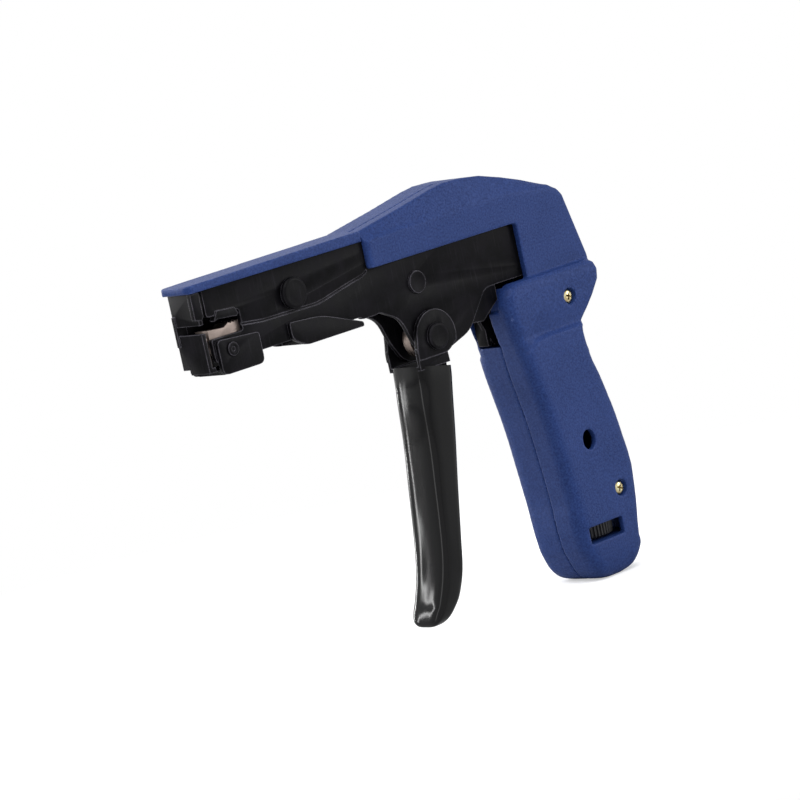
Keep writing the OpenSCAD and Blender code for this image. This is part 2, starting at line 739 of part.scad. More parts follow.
// Spring, seat, nut, screw and wheel on one upright axis in the handle
seat_stem_d = 2.8;
seat_d = 7.6;
seat_t = 2;
seat_top = -20;
spring_top = seat_top - seat_t - 0.5;
spring_l = 32;
nut_top = spring_top - spring_l;
nut_h = 6;
nut_side = 8;
spring_flat = 0.4;
spring_steps = 12;
spring_r = (spring_d - spring_wire) / 2;
spring_coils = spring_turns + 2;
screw_top = nut_top + 8;
wheel_z = -75.1;
wheel_flutes = 24;
flute_d = 1.2;
hub_d = 7;
hub_h = 2;
foot_depth = 5;
collar_z = wheel_z + wheel_h / 2 + 3;
module spring_seat() {
    color(raw_steel) translate([heel_x, 0, 0]) {
        translate([0, 0, seat_top])
            cylinder(d = seat_stem_d, h = heel_floor - gap / 2 - seat_top);
        translate([0, 0, seat_top - seat_t])
            cylinder(d = seat_d, h = seat_t);
    }
}
function spring_height(t) =
    t < 1 ? t * spring_wire
    : t > spring_coils - 1 ? spring_l - spring_wire - (spring_coils - t) * spring_wire
    : spring_wire + (t - 1) * (spring_l - 3 * spring_wire) / (spring_coils - 2);
module tension_spring() {
    path = [for (i = [0:spring_coils * spring_steps])
        let (t = i / spring_steps, a = 360 * t)
            [spring_r * cos(a), spring_r * sin(a), spring_height(t)]];
    color(spring_steel)
        translate([heel_x, 0, nut_top + spring_wire / 2])
            tube(path, spring_wire / 2, 6);
}
module tension_nut() {
    color(raw_steel) translate([heel_x, 0, nut_top - nut_h])
        difference() {
            translate([-nut_side / 2, -nut_side / 2, 0])
                cube([nut_side, nut_side, nut_h]);
            translate([0, 0, -cut])
                cylinder(d = adjuster_d + 2 * fit, h = nut_h + 2 * cut);
        }
}
module adjuster_screw() {
    color(yellow_zinc) translate([heel_x, 0, 0]) {
        translate([0, 0, hollow_floor - foot_depth + gap])
            cylinder(d = adjuster_d, h = screw_top - hollow_floor + foot_depth - gap);
    }
}
module adjuster_wheel() {
    color(black_grip) translate([heel_x, 0, wheel_z - wheel_h / 2])
        difference() {
            union() {
                cylinder(r = wheel_r, h = wheel_h);
                translate([0, 0, wheel_h - skin])
                    cylinder(d = hub_d, h = hub_h);
            }
            for (i = [0:wheel_flutes - 1])
                rotate([0, 0, 360 * i / wheel_flutes])
                    translate([wheel_r + flute_d / 5, 0, -cut])
                        cylinder(d = flute_d, h = wheel_h + 2 * cut, $fn = 6);
            translate([0, 0, -cut])
                cylinder(d = adjuster_d, h = wheel_h + hub_h + 2 * cut);
        }
}

// Housing: the upper body, the shoulder and the handle
body_outline = [
    [lobe_x, 26], [lobe_x, 38.9], [-2, 41.8], [12, 43.6], [18, 44], [26, 43.4], [34, 42], [43, 39.6], [61, 34],
    [64.6, 32.2], [66.5, 30], [74.5, 6.2], [72, -2], [30, -2], [1, 0], [-4.5, 4.5]
];
body_round = 1.6;
crease_z = 34.6;
crown_in = 2.4;
hollow_crown_share = 0.36;
// The outline with its part above the crease drawn down to the share t of its height
function crown(pts, t) = [for (p = pts) [p.x, p.y > crease_z ? crease_z + (p.y - crease_z) * t : p.y]];
// A closed solid through rings of points that have the same count
module loft(rings) {
    n = len(rings[0]);
    m = len(rings);
    walls = [for (i = [0:m - 2]) for (k = [0:n - 1])
        let (a = i * n + k, b = i * n + (k + 1) % n)
            each [[a, b + n, b], [a, a + n, b + n]]];
    first = [[for (k = [0:n - 1]) k]];
    last = [[for (k = [n - 1:-1:0]) (m - 1) * n + k]];
    polyhedron(points = [for (ring = rings) each ring], faces = concat(walls, first, last));
}
function layer(pts, y) = [for (p = pts) [p.x, y, p.y]];
// The outline of the body at depth d behind its side face
function body_layer(d) =
    let (r = d >= body_round ? 0 : body_round - sqrt(body_round ^ 2 - (body_round - d) ^ 2))
        crown(inset(body_outline, r), min(1, d / crown_in));
body_depths = [0, 0.3, 0.8, body_round, crown_in, crown_in + 1];
module body_solid() {
    n = len(body_depths);
    loft(concat(
        [for (d = body_depths) layer(body_layer(d), -left_face + d)],
        [for (i = [n - 1:-1:0]) layer(body_layer(body_depths[i]), right_face - body_depths[i])]
    ));
}
// Stations of the grip: height, front, back and half width
shoulder_top = 8.2;
shoulder_rings = [
    [shoulder_top, 34.5, 72, 0.89], [6.9, 31.6, 74.6, 0.97], [4.6, 29.9, 76.4, 1], [1.5, 29.3, 76.6, 1],
    [-3, 29.8, 74.2, 1], [-8.5, 31, 69.2, 1], [-9.6, 31.2, 68.2, 1.01]
];
edge_round = 4;
function ring_z(z, x0, x1, y, r) =
    [for (p = soft([[x0, -y, r], [x0, y, r], [x1, y, r], [x1, -y, r]])) [p.x, p.y, z]];
// Stations of the handle: drop as a share of its length, front, back and width share
handle_rings = [
    [0.12, 31.7, 65.8, 1], [0.142, 31.9, 64, 1], [0.222, 32.8, 63, 1], [0.311, 34.4, 66, 1],
    [0.411, 36.1, 69.3, 1], [0.556, 37.9, 71.3, 1], [0.678, 39.3, 71, 1], [0.8, 40.5, 69.6, 1],
    [0.889, 41.3, 67.8, 1], [0.944, 42.7, 65.6, 0.965], [0.983, 45.3, 62.6, 0.87], [1, 48.6, 58.6, 0.72]
];
handle_steps = 3;
// A smooth way from b to c at t, where a and d come before and after them
function between(a, b, c, d, t) =
    b + ((c - a) * t + (2 * a - 5 * b + 4 * c - d) * t ^ 2 + (3 * b - 3 * c + d - a) * t ^ 3) / 2;
handle_ends = len(handle_rings) - 1;
fine_rings = [
    for (i = [0:handle_ends - 1]) for (k = [0:handle_steps - 1])
        between(
            handle_rings[max(i - 1, 0)], handle_rings[i], handle_rings[i + 1],
            handle_rings[min(i + 2, handle_ends)], k / handle_steps
        ),
    handle_rings[handle_ends]
];
module grip_solid() {
    loft(concat(
        [for (s = shoulder_rings) ring_z(s[0], s[1], s[2], s[3] * shoulder_w / 2, edge_round)],
        [for (s = fine_rings) ring_z(-s[0] * handle_drop, s[1], s[2], s[3] * handle_w / 2, edge_round)]
    ));
}
// The side outline of the stations, clockwise from the lowest point of the front
grip_stations = concat(
    [for (s = shoulder_rings) [s[0], s[1], s[2]]],
    [for (s = handle_rings) [-s[0] * handle_drop, s[1], s[2]]]
);
function grip_side(i0, i1) = concat(
    [for (i = [i1:-1:i0]) [grip_stations[i][1], grip_stations[i][0]]],
    [for (i = [i0:i1]) [grip_stations[i][2], grip_stations[i][0]]]
);
// The hollow of the housing, as wide as the walls allow
shoulder_hollow = inset(grip_side(1, 9), wall);
handle_hollow = inset(grip_side(8, 15), wall + gap / 2);
hollow_floor = grip_stations[15][0] + wall + gap / 2;
shoulder_hollow_y = shoulder_w / 2 - wall;
handle_hollow_y = handle_w / 2 - wall;
module hollow() {
    body_in = inset(body_outline, wall);
    loft([
        layer(crown(body_in, hollow_crown_share), -left_in),
        layer(body_in, -left_face + crown_in + wall / 2),
        layer(body_in, right_face - crown_in - wall / 2),
        layer(crown(body_in, hollow_crown_share), cover_in)
    ]);
    sheet(handle_hollow, -handle_hollow_y, handle_hollow_y);
    sheet(shoulder_hollow, -shoulder_hollow_y, shoulder_hollow_y);
    block([shoulder_front + wall + gap, -left_in + gap, -4], [70, cover_in - gap, shoulder_top + 4]);
}
shoulder_front = 31;
upper_boss_at = [56.9, -1];
lower_boss_at = [60.9, -63.9];
boss_r = 2.9;
screw_head_d = 4.6;
screw_head_t = 1.5;
screw_sink = 0.4;
insert_d = 3.8;
insert_l = 7;
window_z = wheel_z;
window_h = 5.4;
window_x0 = 43.4;
window_x1 = 58.4;
view_hole_at = [51.8, -45.8];
sill_z = 25.8;
sill_x = 43;
module bosses(y0, y1) {
    bar_y(upper_boss_at, boss_r * 2, y0, y1);
    bar_y(lower_boss_at, boss_r * 2, y0, y1);
}
module housing_solid() {
    difference() {
        union() {
            body_solid();
            grip_solid();
        }
        difference() {
            hollow();
            bosses(-handle_w / 2, handle_w / 2);
        }
        translate([heel_x, 0, hollow_floor - foot_depth])
            cylinder(d = adjuster_d + 2 * fit, h = foot_depth + cut);
        block([window_x0, -handle_w / 2 - cut, window_z - window_h / 2], [window_x1, handle_w / 2 + cut, window_z + window_h / 2]);
    }
}
far = 200;
module housing_left() {
    color(blue_paint) difference() {
        intersection() {
            housing_solid();
            block([-far, -far, -far], [far, part_y, far]);
        }
        // The window over the plate, down to the shoulder and along its front
        sheet(soft(concat(
            [
                [lobe_x - cut, grip_stations[4][0], 0], [lobe_x - cut, sill_z, 0], [sill_x, sill_z, 1.5],
                [sill_x, shoulder_top, 0.5]
            ],
            [for (i = [0:4]) [grip_stations[i][1] + fit, grip_stations[i][0], 0]]
        )), -far, part_y + cut);
        block([lobe_x - cut, -left_in, -far], [lobe_x + wall + cut, part_y + cut, barrel_top + gap]);
        for (p = [upper_boss_at, lower_boss_at]) {
            bar_y(p, screw_d + 2 * fit, -far, part_y + cut);
            bar_y(p, screw_head_d + 2 * gap, -far, -screw_seat_y(p));
        }
        bar_y(view_hole_at, view_hole_d, -far, -handle_hollow_y + cut);
    }
}
function screw_seat_y(p) = (p == upper_boss_at ? shoulder_w / 2 : handle_w / 2) - screw_head_t - screw_sink;
throat_x0 = -12;
module housing_right() {
    color(blue_paint) difference() {
        union() {
            intersection() {
                housing_solid();
                block([-far, part_y, -far], [far, far, far]);
            }
            strip();
        }
        // Room for the plates at the front and for the trigger below
        sheet([
            [lobe_x - cut, -11], [lobe_x - cut, barrel_top + gap / 3], [lobe_x + wall + cut, barrel_top + gap / 3],
            [lobe_x + wall + cut, 30], [-4, 16], [-4, -11]
        ], part_y - cut, plate_out + gap);
        sheet([
            [throat_x0, 13], [throat_x0 + 4, 20], [shoulder_front + wall + cut, 20], [shoulder_front + wall + cut, -11],
            [shoulder_front - cut, -11], [0, -11], [throat_x0, 0]
        ], part_y - cut, cover_in);
        for (p = [upper_boss_at, lower_boss_at])
            bar_y(p, insert_d, part_y - cut, part_y + insert_l);
    }
}
strip_rise = 1.2;
strip_end = lobe_x - 0.2;
strip_root = lobe_x + 4;
module strip() {
    difference() {
        sheet(soft([
            [strip_x, barrel_top, 1], [strip_x, barrel_top + strip_t, 1],
            [strip_root, barrel_top + strip_t + strip_rise, 0], [strip_root, barrel_top, 0]
        ]), -strip_w / 2, strip_w / 2);
        block([strip_end, -far, 0], [far, part_y, far]);
        for (side = [-1, 1])
            translate([strip_x, side * strip_w / 2, barrel_top - cut])
                rotate([0, 0, 45])
                    translate([-strip_corner, -strip_corner, 0])
                        cube([2 * strip_corner, 2 * strip_corner, strip_t + 3 * cut]);
    }
}
strip_corner = 1.2;
module housing_screws() {
    color(yellow_zinc) for (p = [upper_boss_at, lower_boss_at]) {
        seat = screw_seat_y(p);
        difference() {
            union() {
                bar_y(p, screw_d, -seat - skin, part_y + insert_l - cut);
                bar_y(p, screw_head_d, -seat - screw_head_t, -seat);
            }
            for (a = [0, 90])
                translate([p.x, -seat - screw_head_t, p.y])
                    rotate([0, a + 20, 0])
                        block([-screw_head_d * 0.32, -cut, -0.4], [screw_head_d * 0.32, screw_head_t * 0.6, 0.4]);
        }
    }
}
module housing_inserts() {
    color(yellow_zinc) for (p = [upper_boss_at, lower_boss_at])
        difference() {
            bar_y(p, insert_d, part_y, part_y + insert_l);
            bar_y(p, screw_d, part_y - cut, part_y + insert_l + cut);
        }
}

// Place of the tool: its box is centred over the origin and stands on zero
tail_x = 76.6;
module place() {
    translate([-(strip_x + tail_x) / 2, 0, handle_drop])
        children();
}

place() housing_left();
place() housing_right();
place() side_plate_left();
place() side_plate_right();
place() nose_plate();
place() blade_guard();
place() nose_rivets();
place() saddle_bracket();
place() barrel_stud();
place() frame_rivet();
place() trigger_pivot();
place() trigger_lever();
place() trigger_grip();
place() trigger_arm();
place() drive_pin();
place() return_spring();
place() rocker();
place() rocker_pin();
place() bar_pin();
place() pull_bar();
place() pawl_pin();
place() pawl_spring();
place() gripper_pawl();
place() cut_off_blade();
place() cut_off_lever();
place() tension_lever();
place() tension_pin();
place() spring_seat();
place() tension_spring();
place() tension_nut();
place() adjuster_screw();
place() adjuster_wheel();
place() housing_screws();
place() housing_inserts();
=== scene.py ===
import math

import bmesh
import bpy
from mathutils import Matrix, Vector


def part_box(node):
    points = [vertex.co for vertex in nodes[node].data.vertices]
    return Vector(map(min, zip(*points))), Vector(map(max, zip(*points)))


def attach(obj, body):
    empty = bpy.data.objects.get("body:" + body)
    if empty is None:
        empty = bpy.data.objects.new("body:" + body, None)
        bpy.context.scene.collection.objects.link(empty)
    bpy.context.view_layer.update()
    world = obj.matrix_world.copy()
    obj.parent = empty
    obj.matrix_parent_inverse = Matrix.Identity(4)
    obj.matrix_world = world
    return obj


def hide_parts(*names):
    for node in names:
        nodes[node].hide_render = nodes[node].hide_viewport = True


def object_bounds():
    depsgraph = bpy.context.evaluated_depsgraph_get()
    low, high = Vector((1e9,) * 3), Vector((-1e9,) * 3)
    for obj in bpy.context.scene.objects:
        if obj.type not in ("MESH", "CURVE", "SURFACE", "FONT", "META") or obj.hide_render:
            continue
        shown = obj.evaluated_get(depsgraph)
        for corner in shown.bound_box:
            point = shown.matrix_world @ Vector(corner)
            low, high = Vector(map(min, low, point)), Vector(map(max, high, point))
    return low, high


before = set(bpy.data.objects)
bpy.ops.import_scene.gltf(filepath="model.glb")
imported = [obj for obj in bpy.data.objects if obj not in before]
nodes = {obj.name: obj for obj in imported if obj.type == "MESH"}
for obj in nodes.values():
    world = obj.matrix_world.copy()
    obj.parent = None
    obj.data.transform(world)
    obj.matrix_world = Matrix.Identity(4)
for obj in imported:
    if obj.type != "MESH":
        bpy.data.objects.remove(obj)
cad_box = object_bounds()

MM = 0.001
TAU = 2 * math.pi
pivot_low, pivot_high = (Vector(corner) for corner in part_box("trigger_pivot"))
PIVOT = (pivot_low + pivot_high) / 2
PIVOT.y = 0


def place(x, y, z):
    """A point that is x behind, y beside and z above the trigger pivot, in millimetres."""
    return PIVOT + Vector((x, y, z)) * MM


def colour(code):
    """The linear colour of an sRGB hex value."""
    parts = [int(code[i:i + 2], 16) / 255 for i in (1, 3, 5)]
    return [c / 12.92 if c <= 0.04045 else ((c + 0.055) / 1.055) ** 2.4 for c in parts] + [1]


def linked(name, data):
    """A new object in the scene."""
    made = bpy.data.objects.new(name, data)
    bpy.context.scene.collection.objects.link(made)
    return made


# Materials
def add(tree, kind, settings, values):
    """A new node with its settings, and its inputs set or linked."""
    made = tree.nodes.new(kind)
    for name, value in settings.items():
        setattr(made, name, value)
    for name, value in values.items():
        if isinstance(value, bpy.types.NodeSocket):
            tree.links.new(value, made.inputs[name])
        else:
            made.inputs[name].default_value = value
    return made


def begin(name, **values):
    """A material with its shader's plain values, and the point on the object that its patterns read."""
    made = bpy.data.materials.new(name)
    made.use_nodes = True
    tree = made.node_tree
    shader = tree.nodes["Principled BSDF"]
    for label, value in values.items():
        shader.inputs[label.replace("_", " ").title().replace("Ior", "IOR")].default_value = value
    point = add(tree, "ShaderNodeTexCoord", {}, {}).outputs["Object"]
    return made, tree, shader, point


def powder_coat():
    # Baked powder on a zinc casting: satin, with a fine grain that breaks every highlight into specks
    made, tree, shader, point = begin("textured blue powder coat", metallic=0, specular_ior_level=0.16)
    # The grain of such a coat is 0.3 mm; it is drawn at 0.6 mm so that it shows
    grain_size = 0.6 * MM
    cloud_size = 14 * MM
    grain_depth = 0.16 * MM
    grain = add(tree, "ShaderNodeTexNoise", {}, {
        "Vector": point, "Scale": 1 / grain_size, "Detail": 3, "Roughness": 0.6,
    }).outputs["Fac"]
    cloud = add(tree, "ShaderNodeTexNoise", {}, {
        "Vector": point, "Scale": 1 / cloud_size, "Detail": 2, "Roughness": 0.5,
    }).outputs["Fac"]
    fleck = add(tree, "ShaderNodeMapRange", {}, {
        "Value": grain, "From Min": 0.36, "From Max": 0.66, "To Min": 0, "To Max": 1,
    }).outputs["Result"]
    body = add(tree, "ShaderNodeMix", {"data_type": "RGBA"}, {
        0: fleck, 6: colour("#142755"), 7: colour("#21386F"),
    }).outputs[2]
    haze = add(tree, "ShaderNodeMapRange", {}, {
        "Value": cloud, "From Min": 0.3, "From Max": 0.7, "To Min": 0, "To Max": 0.1,
    }).outputs["Result"]
    hazed = add(tree, "ShaderNodeMix", {"data_type": "RGBA"}, {
        0: haze, 6: body, 7: colour("#3F5596"),
    }).outputs[2]
    # The corners of the casting are painted a paler blue, speckled with the grain: a painted highlight along
    # the edges
    corner = add(tree, "ShaderNodeNewGeometry", {}, {}).outputs["Pointiness"]
    painted_edge_highlight = add(tree, "ShaderNodeMapRange", {}, {
        "Value": corner, "From Min": 0.52, "From Max": 0.62, "To Min": 0, "To Max": 0.4,
    }).outputs["Result"]
    painted_highlight_mix = add(tree, "ShaderNodeMath", {"operation": "MULTIPLY"}, {0: painted_edge_highlight, 1: fleck}).outputs[0]
    colour_with_painted_highlight = add(tree, "ShaderNodeMix", {"data_type": "RGBA"}, {
        0: painted_highlight_mix, 6: hazed, 7: colour("#6F82BC"),
    }).outputs[2]
    tree.links.new(colour_with_painted_highlight, shader.inputs["Base Color"])
    gloss = add(tree, "ShaderNodeMapRange", {}, {
        "Value": grain, "From Min": 0.3, "From Max": 0.7, "To Min": 0.62, "To Max": 0.46,
    }).outputs["Result"]
    tree.links.new(gloss, shader.inputs["Roughness"])
    bump = add(tree, "ShaderNodeBump", {}, {"Height": grain, "Strength": 0.5, "Distance": grain_depth})
    tree.links.new(bump.outputs["Normal"], shader.inputs["Normal"])
    return made


def blackened_steel():
    # Pressed steel blackened in a hot bath and oiled: half gloss, with faint rolling lines and rubs
    made, tree, shader, point = begin("black oxide pressed steel", metallic=0, specular_ior_level=0.05)
    # Rolling lines are 0.2 mm apart; they are drawn at 0.5 mm so that they show
    line_spacing = 0.5 * MM
    line_length = 9 * MM
    line_depth = 0.05 * MM
    rub_size = 7 * MM
    corner_reach = 0.45 * MM
    stretched = add(tree, "ShaderNodeMapping", {}, {
        "Vector": point, "Scale": (1 / line_spacing, 1 / line_spacing, 1 / line_length),
    }).outputs["Vector"]
    line = add(tree, "ShaderNodeTexNoise", {}, {"Vector": stretched, "Scale": 1, "Detail": 3}).outputs["Fac"]
    rub = add(tree, "ShaderNodeTexNoise", {}, {
        "Vector": point, "Scale": 1 / rub_size, "Detail": 5, "Roughness": 0.65,
    }).outputs["Fac"]
    patch = add(tree, "ShaderNodeMapRange", {}, {
        "Value": rub, "From Min": 0.42, "From Max": 0.68, "To Min": 0, "To Max": 1,
    }).outputs["Result"]
    tone = add(tree, "ShaderNodeMix", {"data_type": "RGBA"}, {
        0: patch, 6: colour("#08080A"), 7: colour("#111014"),
    }).outputs[2]
    streak = add(tree, "ShaderNodeMapRange", {}, {
        "Value": line, "From Min": 0.58, "From Max": 0.78, "To Min": 0, "To Max": 0.35,
    }).outputs["Result"]
    shade = add(tree, "ShaderNodeMix", {"data_type": "RGBA"}, {
        0: streak, 6: tone, 7: colour("#2A282E"),
    }).outputs[2]
    # The corners are painted a paler grey, a painted highlight made uneven by the rubs; they are where a
    # rounded normal turns away from the face's own
    soft = add(tree, "ShaderNodeBevel", {"samples": 4}, {"Radius": corner_reach}).outputs["Normal"]
    own = add(tree, "ShaderNodeNewGeometry", {}, {}).outputs["Normal"]
    agree = add(tree, "ShaderNodeVectorMath", {"operation": "DOT_PRODUCT"}, {
        0: soft, 1: own,
    }).outputs["Value"]
    corner = add(tree, "ShaderNodeMapRange", {}, {
        "Value": agree, "From Min": 0.995, "From Max": 0.93, "To Min": 0, "To Max": 1,
    }).outputs["Result"]
    uneven = add(tree, "ShaderNodeMapRange", {}, {
        "Value": rub, "From Min": 0.35, "From Max": 0.6, "To Min": 0.25, "To Max": 1,
    }).outputs["Result"]
    painted_edge_highlight = add(tree, "ShaderNodeMath", {"operation": "MULTIPLY"}, {0: corner, 1: uneven}).outputs[0]
    painted_highlight_mix = add(tree, "ShaderNodeMix", {"data_type": "RGBA"}, {
        0: painted_edge_highlight, 6: shade, 7: colour("#66646C"),
    }).outputs[2]
    tree.links.new(painted_highlight_mix, shader.inputs["Base Color"])
    gloss = add(tree, "ShaderNodeMapRange", {}, {
        "Value": rub, "From Min": 0.3, "From Max": 0.7, "To Min": 0.34, "To Max": 0.52,
    }).outputs["Result"]
    tree.links.new(gloss, shader.inputs["Roughness"])
    bump = add(tree, "ShaderNodeBump", {}, {"Height": line, "Strength": 0.16, "Distance": line_depth})
    tree.links.new(bump.outputs["Normal"], shader.inputs["Normal"])
    return made


def dipped_pvc():
    # Soft PVC from a dip tank: wet gloss over slow waves where the coat ran down and set
    made, tree, shader, point = begin("dipped black pvc", metallic=0, roughness=0.11, specular_ior_level=0.2)
    wave_width = 8 * MM
    wave_length = 30 * MM
    wave_depth = 0.5 * MM
    dust_size = 0.8 * MM
    dust_depth = 0.03 * MM
    run = add(tree, "ShaderNodeMapping", {}, {
        "Vector": point, "Scale": (1 / wave_width, 1 / wave_width, 1 / wave_length),
    }).outputs["Vector"]
    wave = add(tree, "ShaderNodeTexNoise", {}, {"Vector": run, "Scale": 1, "Detail": 1}).outputs["Fac"]
    dust = add(tree, "ShaderNodeTexNoise", {}, {
        "Vector": point, "Scale": 1 / dust_size, "Detail": 3,
    }).outputs["Fac"]
    tone = add(tree, "ShaderNodeMix", {"data_type": "RGBA"}, {
        0: dust, 6: colour("#030304"), 7: colour("#060608"),
    }).outputs[2]
    tree.links.new(tone, shader.inputs["Base Color"])
    slow = add(tree, "ShaderNodeBump", {}, {"Height": wave, "Strength": 0.5, "Distance": wave_depth})
    fine = add(tree, "ShaderNodeBump", {}, {
        "Height": dust, "Strength": 0.06, "Distance": dust_depth, "Normal": slow.outputs["Normal"],
    })
    tree.links.new(fine.outputs["Normal"], shader.inputs["Normal"])
    return made


def bare_steel(name, dark, light, lowest, highest, spacing):
    # Hardened steel left bare: grey with a warm cast, ground lines and an uneven sheen
    made, tree, shader, point = begin(name, metallic=1)
    line_length = 5 * MM
    line_depth = 0.04 * MM
    spot_size = 1.6 * MM
    stretched = add(tree, "ShaderNodeMapping", {}, {
        "Vector": point, "Scale": (1 / line_length, 1 / (spacing * MM), 1 / (spacing * MM)),
    }).outputs["Vector"]
    line = add(tree, "ShaderNodeTexNoise", {}, {"Vector": stretched, "Scale": 1, "Detail": 3}).outputs["Fac"]
    spot = add(tree, "ShaderNodeTexNoise", {}, {
        "Vector": point, "Scale": 1 / spot_size, "Detail": 4, "Roughness": 0.6,
    }).outputs["Fac"]
    tone = add(tree, "ShaderNodeMix", {"data_type": "RGBA"}, {
        0: spot, 6: colour(dark), 7: colour(light),
    }).outputs[2]
    tree.links.new(tone, shader.inputs["Base Color"])
    gloss = add(tree, "ShaderNodeMapRange", {}, {
        "Value": line, "From Min": 0.3, "From Max": 0.7, "To Min": lowest, "To Max": highest,
    }).outputs["Result"]
    tree.links.new(gloss, shader.inputs["Roughness"])
    bump = add(tree, "ShaderNodeBump", {}, {"Height": line, "Strength": 0.3, "Distance": line_depth})
    tree.links.new(bump.outputs["Normal"], shader.inputs["Normal"])
    return made


def yellow_zinc():
    # Zinc plate with a yellow chromate film, which shifts from pale straw to a browner one
    made, tree, shader, point = begin("yellow zinc plate", metallic=1)
    film_size = 1.2 * MM
    film = add(tree, "ShaderNodeTexNoise", {}, {
        "Vector": point, "Scale": 1 / film_size, "Detail": 2,
    }).outputs["Fac"]
    shift = add(tree, "ShaderNodeMapRange", {}, {
        "Value": film, "From Min": 0.4, "From Max": 0.6, "To Min": 0, "To Max": 1,
    }).outputs["Result"]
    tone = add(tree, "ShaderNodeMix", {"data_type": "RGBA"}, {
        0: shift, 6: colour("#D6CFA6"), 7: colour("#B5A277"),
    }).outputs[2]
    tree.links.new(tone, shader.inputs["Base Color"])
    gloss = add(tree, "ShaderNodeMapRange", {}, {
        "Value": film, "From Min": 0.3, "From Max": 0.7, "To Min": 0.2, "To Max": 0.36,
    }).outputs["Result"]
    tree.links.new(gloss, shader.inputs["Roughness"])
    return made


def moulded_nylon():
    # Glass filled nylon from a mould: dull black, with a dry fine grain
    made, tree, shader, point = begin("moulded black nylon", metallic=0, specular_ior_level=0.4)
    grain_size = 0.35 * MM
    grain_depth = 0.05 * MM
    grain = add(tree, "ShaderNodeTexNoise", {}, {
        "Vector": point, "Scale": 1 / grain_size, "Detail": 3,
    }).outputs["Fac"]
    tone = add(tree, "ShaderNodeMix", {"data_type": "RGBA"}, {
        0: grain, 6: colour("#141416"), 7: colour("#303034"),
    }).outputs[2]
    tree.links.new(tone, shader.inputs["Base Color"])
    gloss = add(tree, "ShaderNodeMapRange", {}, {
        "Value": grain, "From Min": 0.3, "From Max": 0.7, "To Min": 0.42, "To Max": 0.62,
    }).outputs["Result"]
    tree.links.new(gloss, shader.inputs["Roughness"])
    bump = add(tree, "ShaderNodeBump", {}, {"Height": grain, "Strength": 0.3, "Distance": grain_depth})
    tree.links.new(bump.outputs["Normal"], shader.inputs["Normal"])
    return made


PAINT = powder_coat()
BLACK = blackened_steel()
PVC = dipped_pvc()
JAW_STEEL = bare_steel("bare hardened steel", "#6E635E", "#92867F", 0.38, 0.58, 0.2)
PIN_STEEL = bare_steel("ground spring steel", "#8F9092", "#B4B5B8", 0.22, 0.36, 0.1)
ZINC = yellow_zinc()
NYLON = moulded_nylon()


# Shapes: what counts as one point, as flat, as a sharp edge and as a corner to break
MERGED = 0.002 * MM
FLAT = math.radians(0.4)
SHARP = math.radians(40)
BROKEN = math.radians(38)
ROUND_SIDES = 72
# The grid that a casting is drawn on, in millimetres, and how often its corners are run soft
CAST_GRID = 0.42
CAST_ROUNDS = 3


def kept(shape, name):
    """The mesh of a form under work, which is freed."""
    mesh = bpy.data.meshes.new(name)
    shape.to_mesh(mesh)
    shape.free()
    return mesh


def gathered(meshes):
    """A form under work that holds these meshes."""
    shape = bmesh.new()
    for mesh in meshes:
        shape.from_mesh(mesh)
    return shape


def plain(shape):
    """The finished mesh of an object with modifiers; the object goes."""
    graph = bpy.context.evaluated_depsgraph_get()
    made = bpy.data.meshes.new_from_object(shape.evaluated_get(graph), depsgraph=graph)
    bpy.data.objects.remove(shape)
    return made


def worked(mesh, *steps):
    """A mesh after modifiers, each given as its kind and settings."""
    shape = linked("shape", mesh)
    for kind, settings in steps:
        made = shape.modifiers.new(kind, kind)
        for name, value in settings.items():
            setattr(made, name, value)
    return plain(shape)


def whole(mesh):
    """A mesh with its corners merged and its flat faces whole again."""
    shape = gathered([mesh])
    bmesh.ops.remove_doubles(shape, verts=shape.verts, dist=MERGED)
    bmesh.ops.dissolve_limit(shape, angle_limit=FLAT, verts=shape.verts, edges=shape.edges)
    return kept(shape, "whole")


def copied(name):
    """The mesh of a CAD node."""
    return whole(nodes[name].data)


def piece(name, mesh, material, body, *replaced):
    """A finished piece that rides on a body and stands for CAD nodes."""
    mesh.materials.clear()
    mesh.materials.append(material)
    mesh.polygons.foreach_set("use_smooth", [True] * len(mesh.polygons))
    mesh.set_sharp_from_angle(angle=SHARP)
    made = linked(name, mesh)
    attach(made, body)
    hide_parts(*replaced)
    return made


def joined(*meshes):
    """Several meshes as one."""
    return kept(gathered(meshes), "joined")


def prism(outline, near, far):
    """A closed plate: points as x and z, from one place across the tool to another."""
    shape = bmesh.new()
    rings = [[shape.verts.new(place(x, y, z)) for x, z in outline] for y in (near, far)]
    for ring in rings:
        shape.faces.new(ring)
    for i in range(len(outline)):
        shape.faces.new([rings[0][i - 1], rings[0][i], rings[1][i], rings[1][i - 1]])
    bmesh.ops.recalc_face_normals(shape, faces=shape.faces)
    return kept(shape, "prism")


def cast(name, share, form, *more):
    """A die cast form: the CAD node and what grows from it, run soft at the corners and drawn to form."""
    soft = worked(
        joined(copied(name), *more),
        ("REMESH", {"mode": "VOXEL", "voxel_size": CAST_GRID * MM}),
        ("SMOOTH", {"factor": 0.5, "iterations": CAST_ROUNDS}),
    )
    form(soft)
    return worked(soft, ("DECIMATE", {"ratio": share}))


def softened(mesh, edge):
    """A mesh with its corners broken."""
    return worked(mesh, ("BEVEL", {
        "width": edge * MM, "segments": 2, "limit_method": "ANGLE", "angle_limit": BROKEN,
        "use_clamp_overlap": True, "harden_normals": False,
    }))


def master_of(mesh):
    """An object that a modifier or a tree reads, removed after its use."""
    return linked("master", mesh)


def pressed(name, edge, *tabs):
    """A pressed or cut form: the CAD node and its tabs as one solid, with its corners broken."""
    mesh = copied(name)
    for tab in tabs:
        operand = master_of(prism(*tab))
        mesh = whole(worked(mesh, ("BOOLEAN", {"object": operand, "operation": "UNION", "solver": "EXACT"})))
        bpy.data.objects.remove(operand)
    return softened(mesh, edge)


